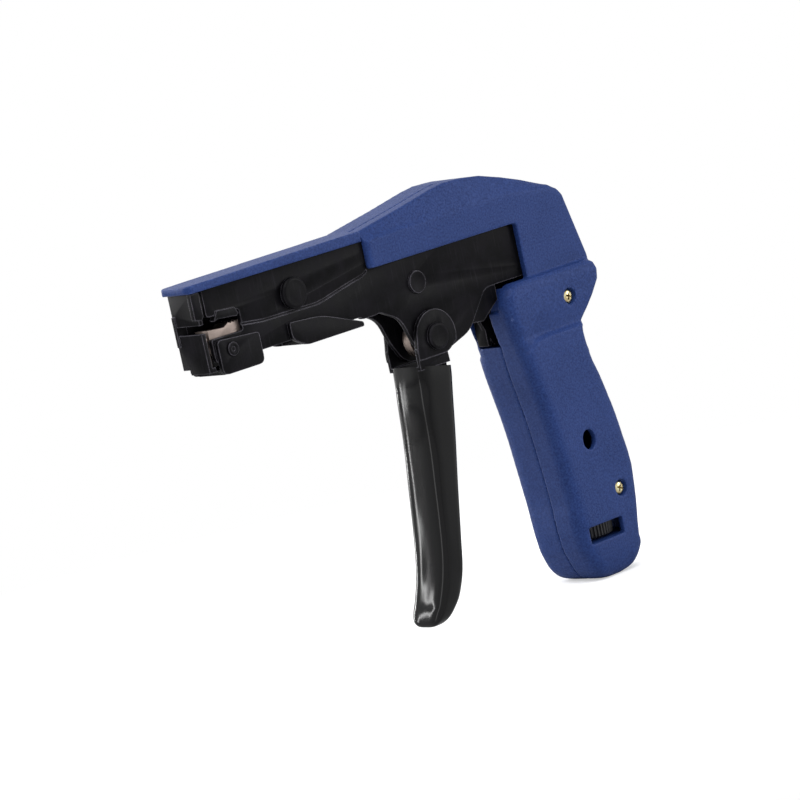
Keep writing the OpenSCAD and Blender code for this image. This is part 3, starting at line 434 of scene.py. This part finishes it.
def skinned(shape, rings, sides):
    """Lays faces between rings of corners; a ring of one corner is a point."""
    for one, two in zip(rings, rings[1:]):
        for i in range(sides):
            j = i + 1
            ends = [one[i % len(one)], one[j % len(one)], two[j % len(two)], two[i % len(two)]]
            shape.faces.new(list(dict.fromkeys(ends)))


def turned(profile, centre, axis="y", sides=ROUND_SIDES):
    """A form turned about an axis through centre, from pairs of radius and place along the axis."""
    shape = bmesh.new()
    rings = []
    for radius, step in profile:
        ring = []
        for i in range(sides if radius else 1):
            a = TAU * i / sides
            one = centre[0] + radius * math.cos(a)
            two = centre[1] + radius * math.sin(a)
            ring.append(shape.verts.new(place(one, step, two) if axis == "y" else place(one, two, step)))
        rings.append(ring)
    skinned(shape, rings, sides)
    bmesh.ops.recalc_face_normals(shape, faces=shape.faces)
    return kept(shape, "turned")


# Trees for what repeats or follows a path
def tree_of(name, inputs):
    """An empty tree for a modifier, with named inputs and one geometry output."""
    tree = bpy.data.node_groups.new(name, "GeometryNodeTree")
    for label, kind in inputs.items():
        tree.interface.new_socket(label, in_out="INPUT", socket_type=kind)
    tree.interface.new_socket("Geometry", in_out="OUTPUT", socket_type="NodeSocketGeometry")
    return tree, tree.nodes.new("NodeGroupInput").outputs


def close(tree, geometry, material):
    """The end of a tree: real geometry with its material."""
    real = add(tree, "GeometryNodeRealizeInstances", {}, {"Geometry": geometry}).outputs["Geometry"]
    dressed = add(tree, "GeometryNodeSetMaterial", {}, {
        "Geometry": real, "Material": material,
    }).outputs["Geometry"]
    add(tree, "NodeGroupOutput", {}, {"Geometry": dressed})
    return tree


def grown(tree, values):
    """The mesh that a tree makes with these values."""
    shape = linked("grown", bpy.data.meshes.new("grown"))
    made = shape.modifiers.new("tree", "NODES")
    made.node_group = tree
    for item in tree.interface.items_tree:
        if item.in_out == "INPUT":
            made[item.identifier] = values[item.name]
    return plain(shape)


def row_tree():
    # Copies of one piece along a line, such as screws and rivets
    tree, given = tree_of("row of pieces", {
        "Piece": "NodeSocketObject", "Count": "NodeSocketInt", "First": "NodeSocketVector",
        "Step": "NodeSocketVector", "Material": "NodeSocketMaterial",
    })
    line = add(tree, "GeometryNodeMeshLine", {"mode": "OFFSET"}, {
        "Count": given["Count"], "Start Location": given["First"], "Offset": given["Step"],
    }).outputs["Mesh"]
    master = add(tree, "GeometryNodeObjectInfo", {}, {"Object": given["Piece"]}).outputs["Geometry"]
    copies = add(tree, "GeometryNodeInstanceOnPoints", {}, {"Points": line, "Instance": master})
    return close(tree, copies.outputs["Instances"], given["Material"])


def ring_tree():
    # Copies of one piece round an upright axis, such as the ribs of a wheel
    tree, given = tree_of("ring of pieces", {
        "Piece": "NodeSocketObject", "Count": "NodeSocketInt", "Radius": "NodeSocketFloat",
        "Centre": "NodeSocketVector", "Material": "NodeSocketMaterial",
    })
    ring = add(tree, "GeometryNodeMeshCircle", {}, {
        "Vertices": given["Count"], "Radius": given["Radius"],
    }).outputs["Mesh"]
    index = add(tree, "GeometryNodeInputIndex", {}, {}).outputs["Index"]
    step = add(tree, "ShaderNodeMath", {"operation": "DIVIDE"}, {0: TAU, 1: given["Count"]}).outputs[0]
    turn = add(tree, "ShaderNodeMath", {"operation": "MULTIPLY"}, {0: index, 1: step}).outputs[0]
    facing = add(tree, "ShaderNodeCombineXYZ", {}, {"Z": turn}).outputs["Vector"]
    master = add(tree, "GeometryNodeObjectInfo", {}, {"Object": given["Piece"]}).outputs["Geometry"]
    copies = add(tree, "GeometryNodeInstanceOnPoints", {}, {
        "Points": ring, "Instance": master, "Rotation": facing,
    }).outputs["Instances"]
    moved = add(tree, "GeometryNodeTransform", {}, {"Geometry": copies, "Translation": given["Centre"]})
    return close(tree, moved.outputs["Geometry"], given["Material"])


def thread_tree():
    # A ridge wound up a rod, such as a screw thread
    tree, given = tree_of("wound ridge", {
        "Turns": "NodeSocketFloat", "Radius": "NodeSocketFloat", "Height": "NodeSocketFloat",
        "Ridge": "NodeSocketFloat", "Foot": "NodeSocketVector", "Material": "NodeSocketMaterial",
    })
    path = add(tree, "GeometryNodeCurveSpiral", {}, {
        "Resolution": 24, "Rotations": given["Turns"], "Start Radius": given["Radius"],
        "End Radius": given["Radius"], "Height": given["Height"],
    }).outputs["Curve"]
    section = add(tree, "GeometryNodeCurvePrimitiveCircle", {}, {"Resolution": 6, "Radius": given["Ridge"]})
    wound = add(tree, "GeometryNodeCurveToMesh", {}, {
        "Curve": path, "Profile Curve": section.outputs["Curve"], "Fill Caps": True,
    }).outputs["Mesh"]
    moved = add(tree, "GeometryNodeTransform", {}, {"Geometry": wound, "Translation": given["Foot"]})
    return close(tree, moved.outputs["Geometry"], given["Material"])


ROW = row_tree()
RING = ring_tree()
THREAD = thread_tree()


# Housing halves: the casting draws in from the solid's plain rear, and its top line is flatter
def value_at(rows, at):
    """The value of a table of places and values, straight between its rows."""
    if at <= rows[0][0]:
        return rows[0][1]
    for (low, one), (high, two) in zip(rows, rows[1:]):
        if at <= high:
            return one + (two - one) * (at - low) / (high - low)
    return rows[-1][1]


# Each row is a height over the pivot and how far the rear comes forward there, in millimetres
REAR_DRAW = [
    (-83, 0), (-80, 1.3), (-76, 1.9), (-58, 1.9), (-48, 3.1), (-35, 3.4), (-27, 2.3), (-19, 1.8),
    (-12.2, 3.9), (-9.6, 6.4), (-3, 6.1), (1.5, 4.4), (4.6, 3.3), (6.9, 2.5), (9.5, 1.7), (30, 0.2), (34, 0),
]
# Where the solid's rear is, and where it begins to move, so that screws and wheel keep their place
REAR_AT = [
    (-80, 66.4), (-76, 67.8), (-69, 69.6), (-58, 71), (-48, 71.3), (-35, 69.3), (-27, 66), (-19, 63),
    (-12.2, 64), (-9.6, 68.2), (-3, 74.2), (1.5, 76.6), (6.9, 74.6), (30, 66.5), (44, 62),
]
REAR_FROM = [(-58, 63.3), (-50, 48), (-12, 48), (-6, 59.5), (6, 59.5), (40, 50)]
# The same for the lower front and for the top line, with where each sets in and over how far
TOE_DRAW = [(-84, 0), (-79, 1.7), (-73, 1.7), (-64, 0.6), (-54, 0.3), (-43, 0)]
TOE_TO = 43
TOE_RUN = 3
TOP_LIFT = [
    (-93, -1.2), (-21.2, -1.5), (-2, -1.2), (12, -0.4), (18, 0), (26, 0.4), (34, 0.8), (61, 0.8),
    (64.6, 0.4), (70, 0),
]
TOP_FROM = 33
TOP_RUN = 4
# The fold where the shoulder's side sinks toward the handle, as a table of height along the tool
WAIST = [(33, -13.5), (38, -10.4), (44, -9.6), (64, -9.6)]
# How deep it is, how far it runs out above and below, and where across the tool it sets in
WAIST_STEP = 0.9
WAIST_REACH = 7
WAIST_RUN = 1.3
WAIST_FROM = 6
WAIST_FADE = 2


def held(value):
    """A value held between nothing and one."""
    return max(0, min(1, value))


def drawn_in(mesh):
    """Moves the rear, lower front, waist and top line of a half to the casting's form."""
    for corner in mesh.vertices:
        x, y, z = (corner.co - PIVOT) / MM
        start = value_at(REAR_FROM, z)
        share = max(0, (x - start) / (value_at(REAR_AT, z) - start))
        toe = held((TOE_TO - x) / TOE_RUN) * value_at(TOE_DRAW, z)
        lift = value_at(TOP_LIFT, x) * held((z - TOP_FROM) / TOP_RUN)
        over = z - value_at(WAIST, x)
        fold = held(1 - over / WAIST_REACH if over > 0 else 1 + over / WAIST_RUN)
        fold *= held((abs(y) - WAIST_FROM) / WAIST_FADE)
        y -= math.copysign(WAIST_STEP * fold, y)
        corner.co = place(x - share * value_at(REAR_DRAW, z) - toe, y, z + lift)


# The left half's front wall closes the shoulder as far as the seam
SHOULDER_FRONT = [(7.2, 32.2), (4.6, 30.9), (1.5, 30.5), (-2.8, 31)]
SHOULDER_WALL = 2.2
WALL_NEAR, SEAM = -7.6, -1.15
LEFT_SHARE, RIGHT_SHARE = 0.55, 0.5
wall_outline = [(x, z) for z, x in SHOULDER_FRONT]
wall_outline += [(x + SHOULDER_WALL, z) for z, x in reversed(SHOULDER_FRONT)]
shoulder_wall = prism(wall_outline, WALL_NEAR, SEAM)
left_half = cast("housing_left", LEFT_SHARE, drawn_in, shoulder_wall)
right_half = cast("housing_right", RIGHT_SHARE, drawn_in)
piece("left_half", left_half, PAINT, "frame", "housing_left")
piece("right_half", right_half, PAINT, "frame", "housing_right")

# Pressed steel
PLATE_EDGE, LEVER_EDGE, WORKS_EDGE = 0.22, 0.2, 0.12
PLATE_IN, PLATE_OUT = 4.2, 5.6
TAIL_DEPTH = 0.12
LIP_OUT = 6.2
LEG_OUT = 8.6
TAB_OUT = 5.75
STOP_IN, STOP_OUT = 4.3, 5.45
# What the plates and the nose carry beyond their flat solids
FOLDS = {
    "side_plate_left": [
        # The tail runs back to the shoulder's front wall
        (
            [(16.5, 0), (22.7, -0.6), (30.4, 4.5), (30.6, 9.4), (18, 9)],
            -PLATE_OUT + TAIL_DEPTH, -PLATE_IN - TAIL_DEPTH,
        ),
        # A lip is pressed up along the top of the jaw's mouth
        (
            [(-85, 24.8), (-83.3, 27.6), (-76.2, 27.1), (-75.2, 25.1), (-76, 24.5), (-83.4, 25.2)],
            -LIP_OUT, -PLATE_IN,
        ),
    ],
    "side_plate_right": [
        # The leg is folded over inside the handle's mouth, and its fold out to the housing wall is a black
        # sheet that stands in for the shade in there
        ([(32, -10.3), (33.4, -10.3), (33.4, -0.6), (32, -0.6)], PLATE_IN, LEG_OUT),
    ],
    "nose_plate": [
        # A tab turns back above the slot on the near side, and a stop closes the slot's far end
        ([(-91.6, 26.6), (-89, 26.2), (-88.2, 27), (-88.2, 34.2), (-91.6, 34.2)], -TAB_OUT, -PLATE_IN),
        ([(-90.8, 19), (-86.6, 19), (-86.6, 28), (-90.8, 28)], STOP_IN, STOP_OUT),
    ],
    "blade_guard": [],
    "saddle_bracket": [],
}
for name, tabs in FOLDS.items():
    piece("black_" + name, pressed(name, PLATE_EDGE, *tabs), BLACK, "frame", name)
piece("black_trigger_lever", pressed("trigger_lever", LEVER_EDGE), BLACK, "trigger", "trigger_lever")

# Dipped grip: height, front, rear and half width, down to the domed toe
GRIP = [
    (-8.7, -9.4, 5.3, 7.3), (-13, -9.6, 4.7, 7.4), (-18.9, -10.2, 3.4, 7.45), (-31, -11.1, 0.7, 7.5),
    (-44.7, -12.9, -2.6, 7.5), (-60.2, -15.1, -6, 7.43), (-70.5, -17.5, -8.2, 7.28),
    (-77.4, -20.3, -11.2, 7), (-80.8, -22.3, -13.9, 6.6), (-83.4, -23.4, -16.6, 5.7),
    (-84.9, -23.2, -19, 3.9), (-85.4, -22.2, -20.8, 1.2),
]
GRIP_STEPS = 6
# How square its sections are: nearer to nothing is squarer
FRONT_POWER, REAR_POWER, SIDE_POWER = 0.46, 0.44, 0.44
# The rim is tilted, and the tilt fades below it
RIM_TILT = 0.2
RIM_DROP = 6


def curve_through(rows, steps):
    """Rows on a smooth curve through the given ones."""
    made = []
    for i in range(len(rows) - 1):
        around = [rows[max(0, i - 1)], rows[i], rows[i + 1], rows[min(len(rows) - 1, i + 2)]]
        for j in range(steps):
            t = j / steps
            row = []
            for a, b, c, d in zip(*around):
                slope, bend, twist = c - a, 2 * a - 5 * b + 4 * c - d, 3 * (b - c) + d - a
                row.append(b + slope * t / 2 + bend * t ** 2 / 2 + twist * t ** 3 / 2)
            made.append(row)
    return made + [list(rows[-1])]


def dipped_grip():
    """The coat's outer skin, through sections with soft corners."""
    shape = bmesh.new()
    rings = []
    for height, front, rear, half in curve_through(GRIP, GRIP_STEPS):
        ring = []
        middle, reach_x = (front + rear) / 2, (rear - front) / 2
        tilt = RIM_TILT * max(0, 1 - (GRIP[0][0] - height) / RIM_DROP)
        for i in range(ROUND_SIDES):
            a = TAU * i / ROUND_SIDES
            c, d = math.cos(a), math.sin(a)
            power = FRONT_POWER if c < 0 else REAR_POWER
            x = middle + reach_x * math.copysign(abs(c) ** power, c)
            y = half * math.copysign(abs(d) ** SIDE_POWER, d)
            ring.append(shape.verts.new(place(x, y, height - tilt * (x - middle))))
        rings.append(ring)
    skinned(shape, rings, ROUND_SIDES)
    for ring in (rings[0], rings[-1]):
        shape.faces.new(ring)
    bmesh.ops.recalc_face_normals(shape, faces=shape.faces)
    return kept(shape, "grip")


piece("dipped_grip", dipped_grip(), PVC, "trigger", "trigger_grip")

# Works inside the plates
for name, body in {
    "trigger_arm": "trigger", "rocker": "rocker_body", "pull_bar": "bar", "gripper_pawl": "pawl",
    "cut_off_blade": "blade", "cut_off_lever": "cutter_lever", "tension_lever": "tension_arm",
    "spring_seat": "plunger", "tension_nut": "nut",
}.items():
    piece("steel_" + name, pressed(name, WORKS_EDGE), JAW_STEEL, body, name)


# Rivets, stud and pivot
def both_ends(head, shaft, seat):
    """The profile of a headed pin; head is radius and height over the seat, from the middle out."""
    left = [(radius, -seat - height) for radius, height in head]
    return left + [(shaft, -seat), (shaft, seat)] + [(radius, -step) for radius, step in reversed(left)]


PINS = {
    "pivot_rivet": {
        "head": [
            (0, 1.24), (2.6, 1.26), (3.1, 1.36), (3.5, 1.38), (3.85, 1.24), (4.05, 0.98), (4.1, 0.7),
            (4.1, 0),
        ],
        "shaft": 2.9, "seat": 7.3, "at": (0, 0), "body": "trigger", "node": "trigger_pivot",
    },
    "plate_rivet": {
        "head": [(0, 0.6), (2.5, 0.62), (2.8, 0.74), (3.1, 0.78), (3.35, 0.7), (3.5, 0.42), (3.5, 0)],
        "shaft": 2.4, "seat": PLATE_OUT, "at": (-2, 17.5), "body": "frame", "node": "frame_rivet",
    },
    "stud": {
        "head": [
            (0, 2.14), (2, 2.1), (3.3, 1.98), (3.7, 2.02), (4.2, 1.98), (4.6, 1.76), (4.82, 1.4), (4.84, 0.5),
            (4.6, 0.22), (4.3, 0.12), (4.3, 0),
        ],
        "shaft": 2.5, "seat": PLATE_OUT, "at": (-52.7, 25.8), "body": "frame", "node": "barrel_stud",
    },
}
for name, pin in PINS.items():
    profile = both_ends(pin["head"], pin["shaft"], pin["seat"])
    piece(name, turned(profile, pin["at"]), BLACK, pin["body"], pin["node"])

# Cross recess screws
SMALL_SIDES = 40
SCREW_HEAD = [(0, 0.02), (1.2, 0.04), (1.75, 0.22), (2.12, 0.6), (2.28, 1.05), (2.28, 1.5)]
SCREW_R = 1.3
SCREW_GROOVE = 0.25
SCREW_L = 10.4
GROOVE_FROM = 1.9
GROOVE_STEP = 0.35
GROOVES = 24
screw_shank = [(SCREW_R, SCREW_HEAD[-1][1])]
for i in range(GROOVES):
    screw_shank.append((SCREW_R - SCREW_GROOVE * (i % 2), GROOVE_FROM + GROOVE_STEP * i))
screw_blank = turned(SCREW_HEAD + screw_shank + [(0, SCREW_L)], (0, 0), sides=SMALL_SIDES)
screw_blank.transform(Matrix.Translation(-PIVOT))
# Two crossed blades cut the recess: their length, breadth and depth at its mouth and at its bottom
RECESS_TURN = 0.4
RECESS_MOUTH = (2.9, 0.7, -0.6)
RECESS_BOTTOM = (1.3, 0.42, 1.35)


def cross_recess():
    """The punch that makes the recess: two tapered blades."""
    shape = bmesh.new()
    for turn in (RECESS_TURN, RECESS_TURN + TAU / 4):
        blade = bmesh.ops.create_cube(shape, size=1)["verts"]
        for corner in blade:
            length, breadth, depth = RECESS_BOTTOM if corner.co.y > 0 else RECESS_MOUTH
            corner.co.x *= length * MM
            corner.co.z *= breadth * MM
            corner.co.y = depth * MM
            corner.co = Matrix.Rotation(turn, 3, "Y") @ corner.co
    return kept(shape, "punch")


punch = master_of(cross_recess())
screw_master = master_of(worked(screw_blank, ("BOOLEAN", {
    "object": punch, "operation": "DIFFERENCE", "solver": "EXACT", "use_self": True,
})))
upper_screw = place(56.9, -9.95, -1)
lower_screw = place(60.9, -10.8, -63.9)
piece("cross_screws", grown(ROW, {
    "Piece": screw_master, "Count": 2, "First": upper_screw, "Step": lower_screw - upper_screw,
    "Material": ZINC,
}), ZINC, "frame", "housing_screws")

# Nose rivets: the far one is the near one turned about, so each is one copy of its own master
nose_low, nose_high = (Vector(corner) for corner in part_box("nose_rivets"))
NOSE_HEAD = [
    (0, 0.42), (0.7, 0.4), (0.95, 0.12), (1.25, 0.04), (1.7, 0.04), (2, 0.2), (2.12, 0.5),
    (2.12, 1.2), (0, 1.2),
]
NOSE_RIVET_X, NOSE_RIVET_Z = -81, 15.7
nose_head = turned(NOSE_HEAD, (0, 0), sides=SMALL_SIDES)
nose_head.transform(Matrix.Translation(-PIVOT))
near_head = master_of(nose_head)
far_mesh = nose_head.copy()
far_mesh.transform(Matrix.Rotation(math.pi, 4, "Z"))
far_head = master_of(far_mesh)
nose_near = Vector((place(NOSE_RIVET_X, 0, 0).x, nose_low.y, place(0, 0, NOSE_RIVET_Z).z))
nose_far = Vector((nose_near.x, nose_high.y, nose_near.z))
nose_heads = []
for master, first in ((near_head, nose_near), (far_head, nose_far)):
    nose_heads.append(grown(ROW, {
        "Piece": master, "Count": 1, "First": first, "Step": Vector((0, 0, 0)), "Material": BLACK,
    }))
piece("nose_heads", joined(*nose_heads), BLACK, "frame", "nose_rivets")

# Tension wheel and its screw
wheel_low, wheel_high = (Vector(corner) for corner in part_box("adjuster_wheel"))
wheel_centre = (wheel_low + wheel_high) / 2
wheel_r = (wheel_high.x - wheel_low.x) / 2 / MM
wheel_half = (wheel_high.z - wheel_low.z) / 2 / MM
WHEEL_AT = ((wheel_centre.x - PIVOT.x) / MM, 0)
WHEEL_Z = (wheel_centre.z - PIVOT.z) / MM
wheel_foot = WHEEL_Z - wheel_half
wheel_top = WHEEL_Z + wheel_half
# The wheel's rim under the ribs: how far in from its outer edge, and how far from its flat faces
WHEEL_RIM = [(1.3, 0), (0.7, 0.5), (0.55, 0.9)]
WHEEL_SIDES = 96
wheel_profile = [(0, wheel_foot)]
wheel_profile += [(wheel_r - inward, wheel_foot + up_from) for inward, up_from in WHEEL_RIM]
wheel_profile += [(wheel_r - inward, wheel_top - down_from) for inward, down_from in reversed(WHEEL_RIM)]
wheel_profile += [(0, wheel_top)]
wheel_core = turned(wheel_profile, WHEEL_AT, axis="z", sides=WHEEL_SIDES)
RIBS = 44
RIB_SUNK = 0.02
RIB_DEPTH = 0.8
RIB_EDGE = 0.1
# A rib's breadth, and how much shorter than the wheel it is, at its crest and at its root
RIB_CREST = (0.42, 1.2)
RIB_ROOT = (0.95, 0.5)


def wheel_rib():
    """One rib of the wheel, with its corners broken."""
    shape = bmesh.new()
    for corner in bmesh.ops.create_cube(shape, size=1)["verts"]:
        outer = corner.co.x > 0
        breadth, shorter = RIB_CREST if outer else RIB_ROOT
        corner.co.x = (0 if outer else -RIB_DEPTH) * MM
        corner.co.y *= breadth * MM
        corner.co.z *= (2 * wheel_half - shorter) * MM
    mesh = kept(shape, "rib")
    return worked(mesh, ("BEVEL", {"width": RIB_EDGE * MM, "segments": 2, "limit_method": "NONE"}))


rib_master = master_of(wheel_rib())
wheel_ribs = grown(RING, {
    "Piece": rib_master, "Count": RIBS, "Radius": (wheel_r - RIB_SUNK) * MM, "Centre": wheel_centre,
    "Material": NYLON,
})
piece("ribbed_wheel", joined(wheel_core, wheel_ribs), NYLON, "adjuster", "adjuster_wheel")

rod_low, rod_high = (Vector(corner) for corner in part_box("adjuster_screw"))
rod_r = (rod_high.x - rod_low.x) / 2 / MM
rod_foot = (rod_low.z - PIVOT.z) / MM
rod_top = (rod_high.z - PIVOT.z) / MM
ROD_SIDES = 36
ROD_FIT = 0.02
ROD_CHAMFER, ROD_CHAMFER_UP = 0.5, 0.4
NECK_FROM, NECK_TO = 1, 1.4
THREAD_DEPTH = 0.4
THREAD_PITCH = 0.7
THREAD_RIDGE = 0.36
THREAD_FROM = 2
THREAD_END = 1
core_r = rod_r - THREAD_DEPTH
rod_core = turned([
    (0, rod_foot), (rod_r - ROD_CHAMFER, rod_foot), (rod_r - ROD_FIT, rod_foot + ROD_CHAMFER_UP),
    (rod_r - ROD_FIT, wheel_top + NECK_FROM), (core_r, wheel_top + NECK_TO), (core_r, rod_top - ROD_CHAMFER),
    (core_r - ROD_CHAMFER, rod_top), (0, rod_top),
], WHEEL_AT, axis="z", sides=ROD_SIDES)
thread_foot = wheel_top + THREAD_FROM
thread_turns = (rod_top - THREAD_END - thread_foot) / THREAD_PITCH
rod_thread = grown(THREAD, {
    "Turns": thread_turns, "Radius": core_r * MM, "Height": thread_turns * THREAD_PITCH * MM,
    "Ridge": THREAD_RIDGE * MM, "Foot": place(*WHEEL_AT, thread_foot), "Material": PIN_STEEL,
})
piece("threaded_rod", joined(rod_core, rod_thread), PIN_STEEL, "adjuster", "adjuster_screw")

for master in (punch, screw_master, near_head, far_head, rib_master):
    bpy.data.objects.remove(master)

# CAD nodes that keep their own shape
OWN_SHAPE = {
    PIN_STEEL: [
        "rocker_pin", "bar_pin", "drive_pin", "pawl_pin", "tension_pin", "pawl_spring", "return_spring",
        "tension_spring",
    ],
    ZINC: ["housing_inserts"],
}
for material, names in OWN_SHAPE.items():
    for name in names:
        for slot in nodes[name].material_slots:
            slot.material = material

# Floor
FLOOR_REACH = 3
FLOOR_GAP = 0.1
FLOOR_GLOW = 0.45
# The paper runs out into plain white between these distances from the middle, in metres
PAPER_TO, WHITE_FROM = 0.12, 0.3
floor_z = cad_box[0].z - FLOOR_GAP * MM
floor_mesh = bpy.data.meshes.new("floor")
floor_mesh.from_pydata(
    [(x * FLOOR_REACH, y * FLOOR_REACH, floor_z) for x, y in ((-1, -1), (1, -1), (1, 1), (-1, 1))],
    [], [(0, 1, 2, 3)],
)
floor = linked("floor", floor_mesh)
paper = bpy.data.materials.new("white paper sweep")
paper.use_nodes = True
paper_tree = paper.node_tree
paper_tree.nodes.clear()
seen = add(paper_tree, "ShaderNodeLightPath", {}, {}).outputs["Is Camera Ray"]
dull = add(paper_tree, "ShaderNodeBsdfDiffuse", {}, {"Color": colour("#DCDCDC")}).outputs["BSDF"]
glow = add(paper_tree, "ShaderNodeEmission", {}, {
    "Color": colour("#FFFFFF"), "Strength": FLOOR_GLOW,
}).outputs["Emission"]
both = add(paper_tree, "ShaderNodeAddShader", {}, {0: dull, 1: glow}).outputs["Shader"]
blank = add(paper_tree, "ShaderNodeEmission", {}, {
    "Color": colour("#FFFFFF"), "Strength": 1,
}).outputs["Emission"]
spot = add(paper_tree, "ShaderNodeTexCoord", {}, {}).outputs["Object"]
away = add(paper_tree, "ShaderNodeVectorMath", {"operation": "LENGTH"}, {0: spot}).outputs["Value"]
faded = add(paper_tree, "ShaderNodeMapRange", {}, {
    "Value": away, "From Min": PAPER_TO, "From Max": WHITE_FROM, "To Min": 0, "To Max": 1,
}).outputs["Result"]
shown = add(paper_tree, "ShaderNodeMixShader", {}, {0: faded, 1: both, 2: blank}).outputs["Shader"]
chosen = add(paper_tree, "ShaderNodeMixShader", {}, {0: seen, 1: dull, 2: shown}).outputs["Shader"]
add(paper_tree, "ShaderNodeOutputMaterial", {}, {"Surface": chosen})
floor_mesh.materials.append(paper)

# World: white where it is seen or mirrored, and a plain level where it lights
WORLD_LEVEL = 0.5
world = bpy.data.worlds.new("studio")
bpy.context.scene.world = world
world.use_nodes = True
world_tree = world.node_tree
world_tree.nodes.clear()
path = add(world_tree, "ShaderNodeLightPath", {}, {}).outputs
mirrored = add(world_tree, "ShaderNodeMath", {"operation": "MAXIMUM"}, {
    0: path["Is Glossy Ray"], 1: path["Is Transmission Ray"],
}).outputs[0]
white = add(world_tree, "ShaderNodeMath", {"operation": "MAXIMUM"}, {
    0: path["Is Camera Ray"], 1: mirrored,
}).outputs[0]
level = add(world_tree, "ShaderNodeMapRange", {}, {
    "Value": white, "To Min": WORLD_LEVEL, "To Max": 1,
}).outputs["Result"]
sky = add(world_tree, "ShaderNodeBackground", {}, {
    "Color": colour("#FFFFFF"), "Strength": level,
}).outputs["Background"]
add(world_tree, "ShaderNodeOutputWorld", {}, {"Surface": sky})

# Lamps, placed in metres and set in watts
AIM = Vector((0, 0, 0.07))


def softbox(name, at, power, width, height):
    """A soft lamp that faces the tool."""
    lamp = bpy.data.lights.new(name, "AREA")
    lamp.shape = "RECTANGLE"
    lamp.size = width
    lamp.size_y = height
    lamp.energy = power
    made = linked(name, lamp)
    made.location = at
    made.rotation_euler = (AIM - Vector(at)).to_track_quat("-Z", "Y").to_euler()


softbox("key", (-0.35, -0.75, 1.35), 13, 0.9, 0.9)
softbox("left strip", (-1.25, 0.1, 0.55), 2.5, 0.25, 1.1)
softbox("right strip", (1.1, -1.15, 0.35), 9, 0.6, 0.9)
softbox("back", (0.3, 1.2, 1.1), 7, 0.8, 0.8)
softbox("streak", (-0.25, 1.3, 0.45), 16, 0.07, 1.3)
softbox("left streak", (-0.8, 1.0, 0.45), 5, 0.05, 1.3)

# Camera, fitted to the photograph: angles in degrees, distance in metres, focal length in pixels
TURN = math.radians(43.2)
RISE = math.radians(7.7)
ROLL = math.radians(12.2)
AWAY = 1.3
SIDE = 800
FOCAL = 4290
SENSOR = 36
PIVOT_END = -8.5
back = Vector((-math.sin(TURN) * math.cos(RISE), -math.cos(TURN) * math.cos(RISE), math.sin(RISE)))
right = Vector((math.cos(TURN), -math.sin(TURN), 0))
up = back.cross(right)
across = math.cos(ROLL) * right - math.sin(ROLL) * up
upright = math.sin(ROLL) * right + math.cos(ROLL) * up
# The near end of the pivot is seen at this pixel of the photograph
seen_x, seen_y = 439.5, 335.8
eye = place(0, PIVOT_END, 0) + AWAY * back
eye += ((SIDE / 2 - seen_x) * across - (SIDE / 2 - seen_y) * upright) * AWAY / FOCAL
camera_data = bpy.data.cameras.new("camera")
camera_data.sensor_width = SENSOR
camera_data.lens = FOCAL / SIDE * camera_data.sensor_width
camera = linked("camera", camera_data)
turned_to = Matrix((across, upright, back)).transposed()
camera.matrix_world = Matrix.Translation(eye) @ turned_to.to_4x4()
bpy.context.scene.camera = camera

bpy.context.scene.view_settings.view_transform = "Standard"
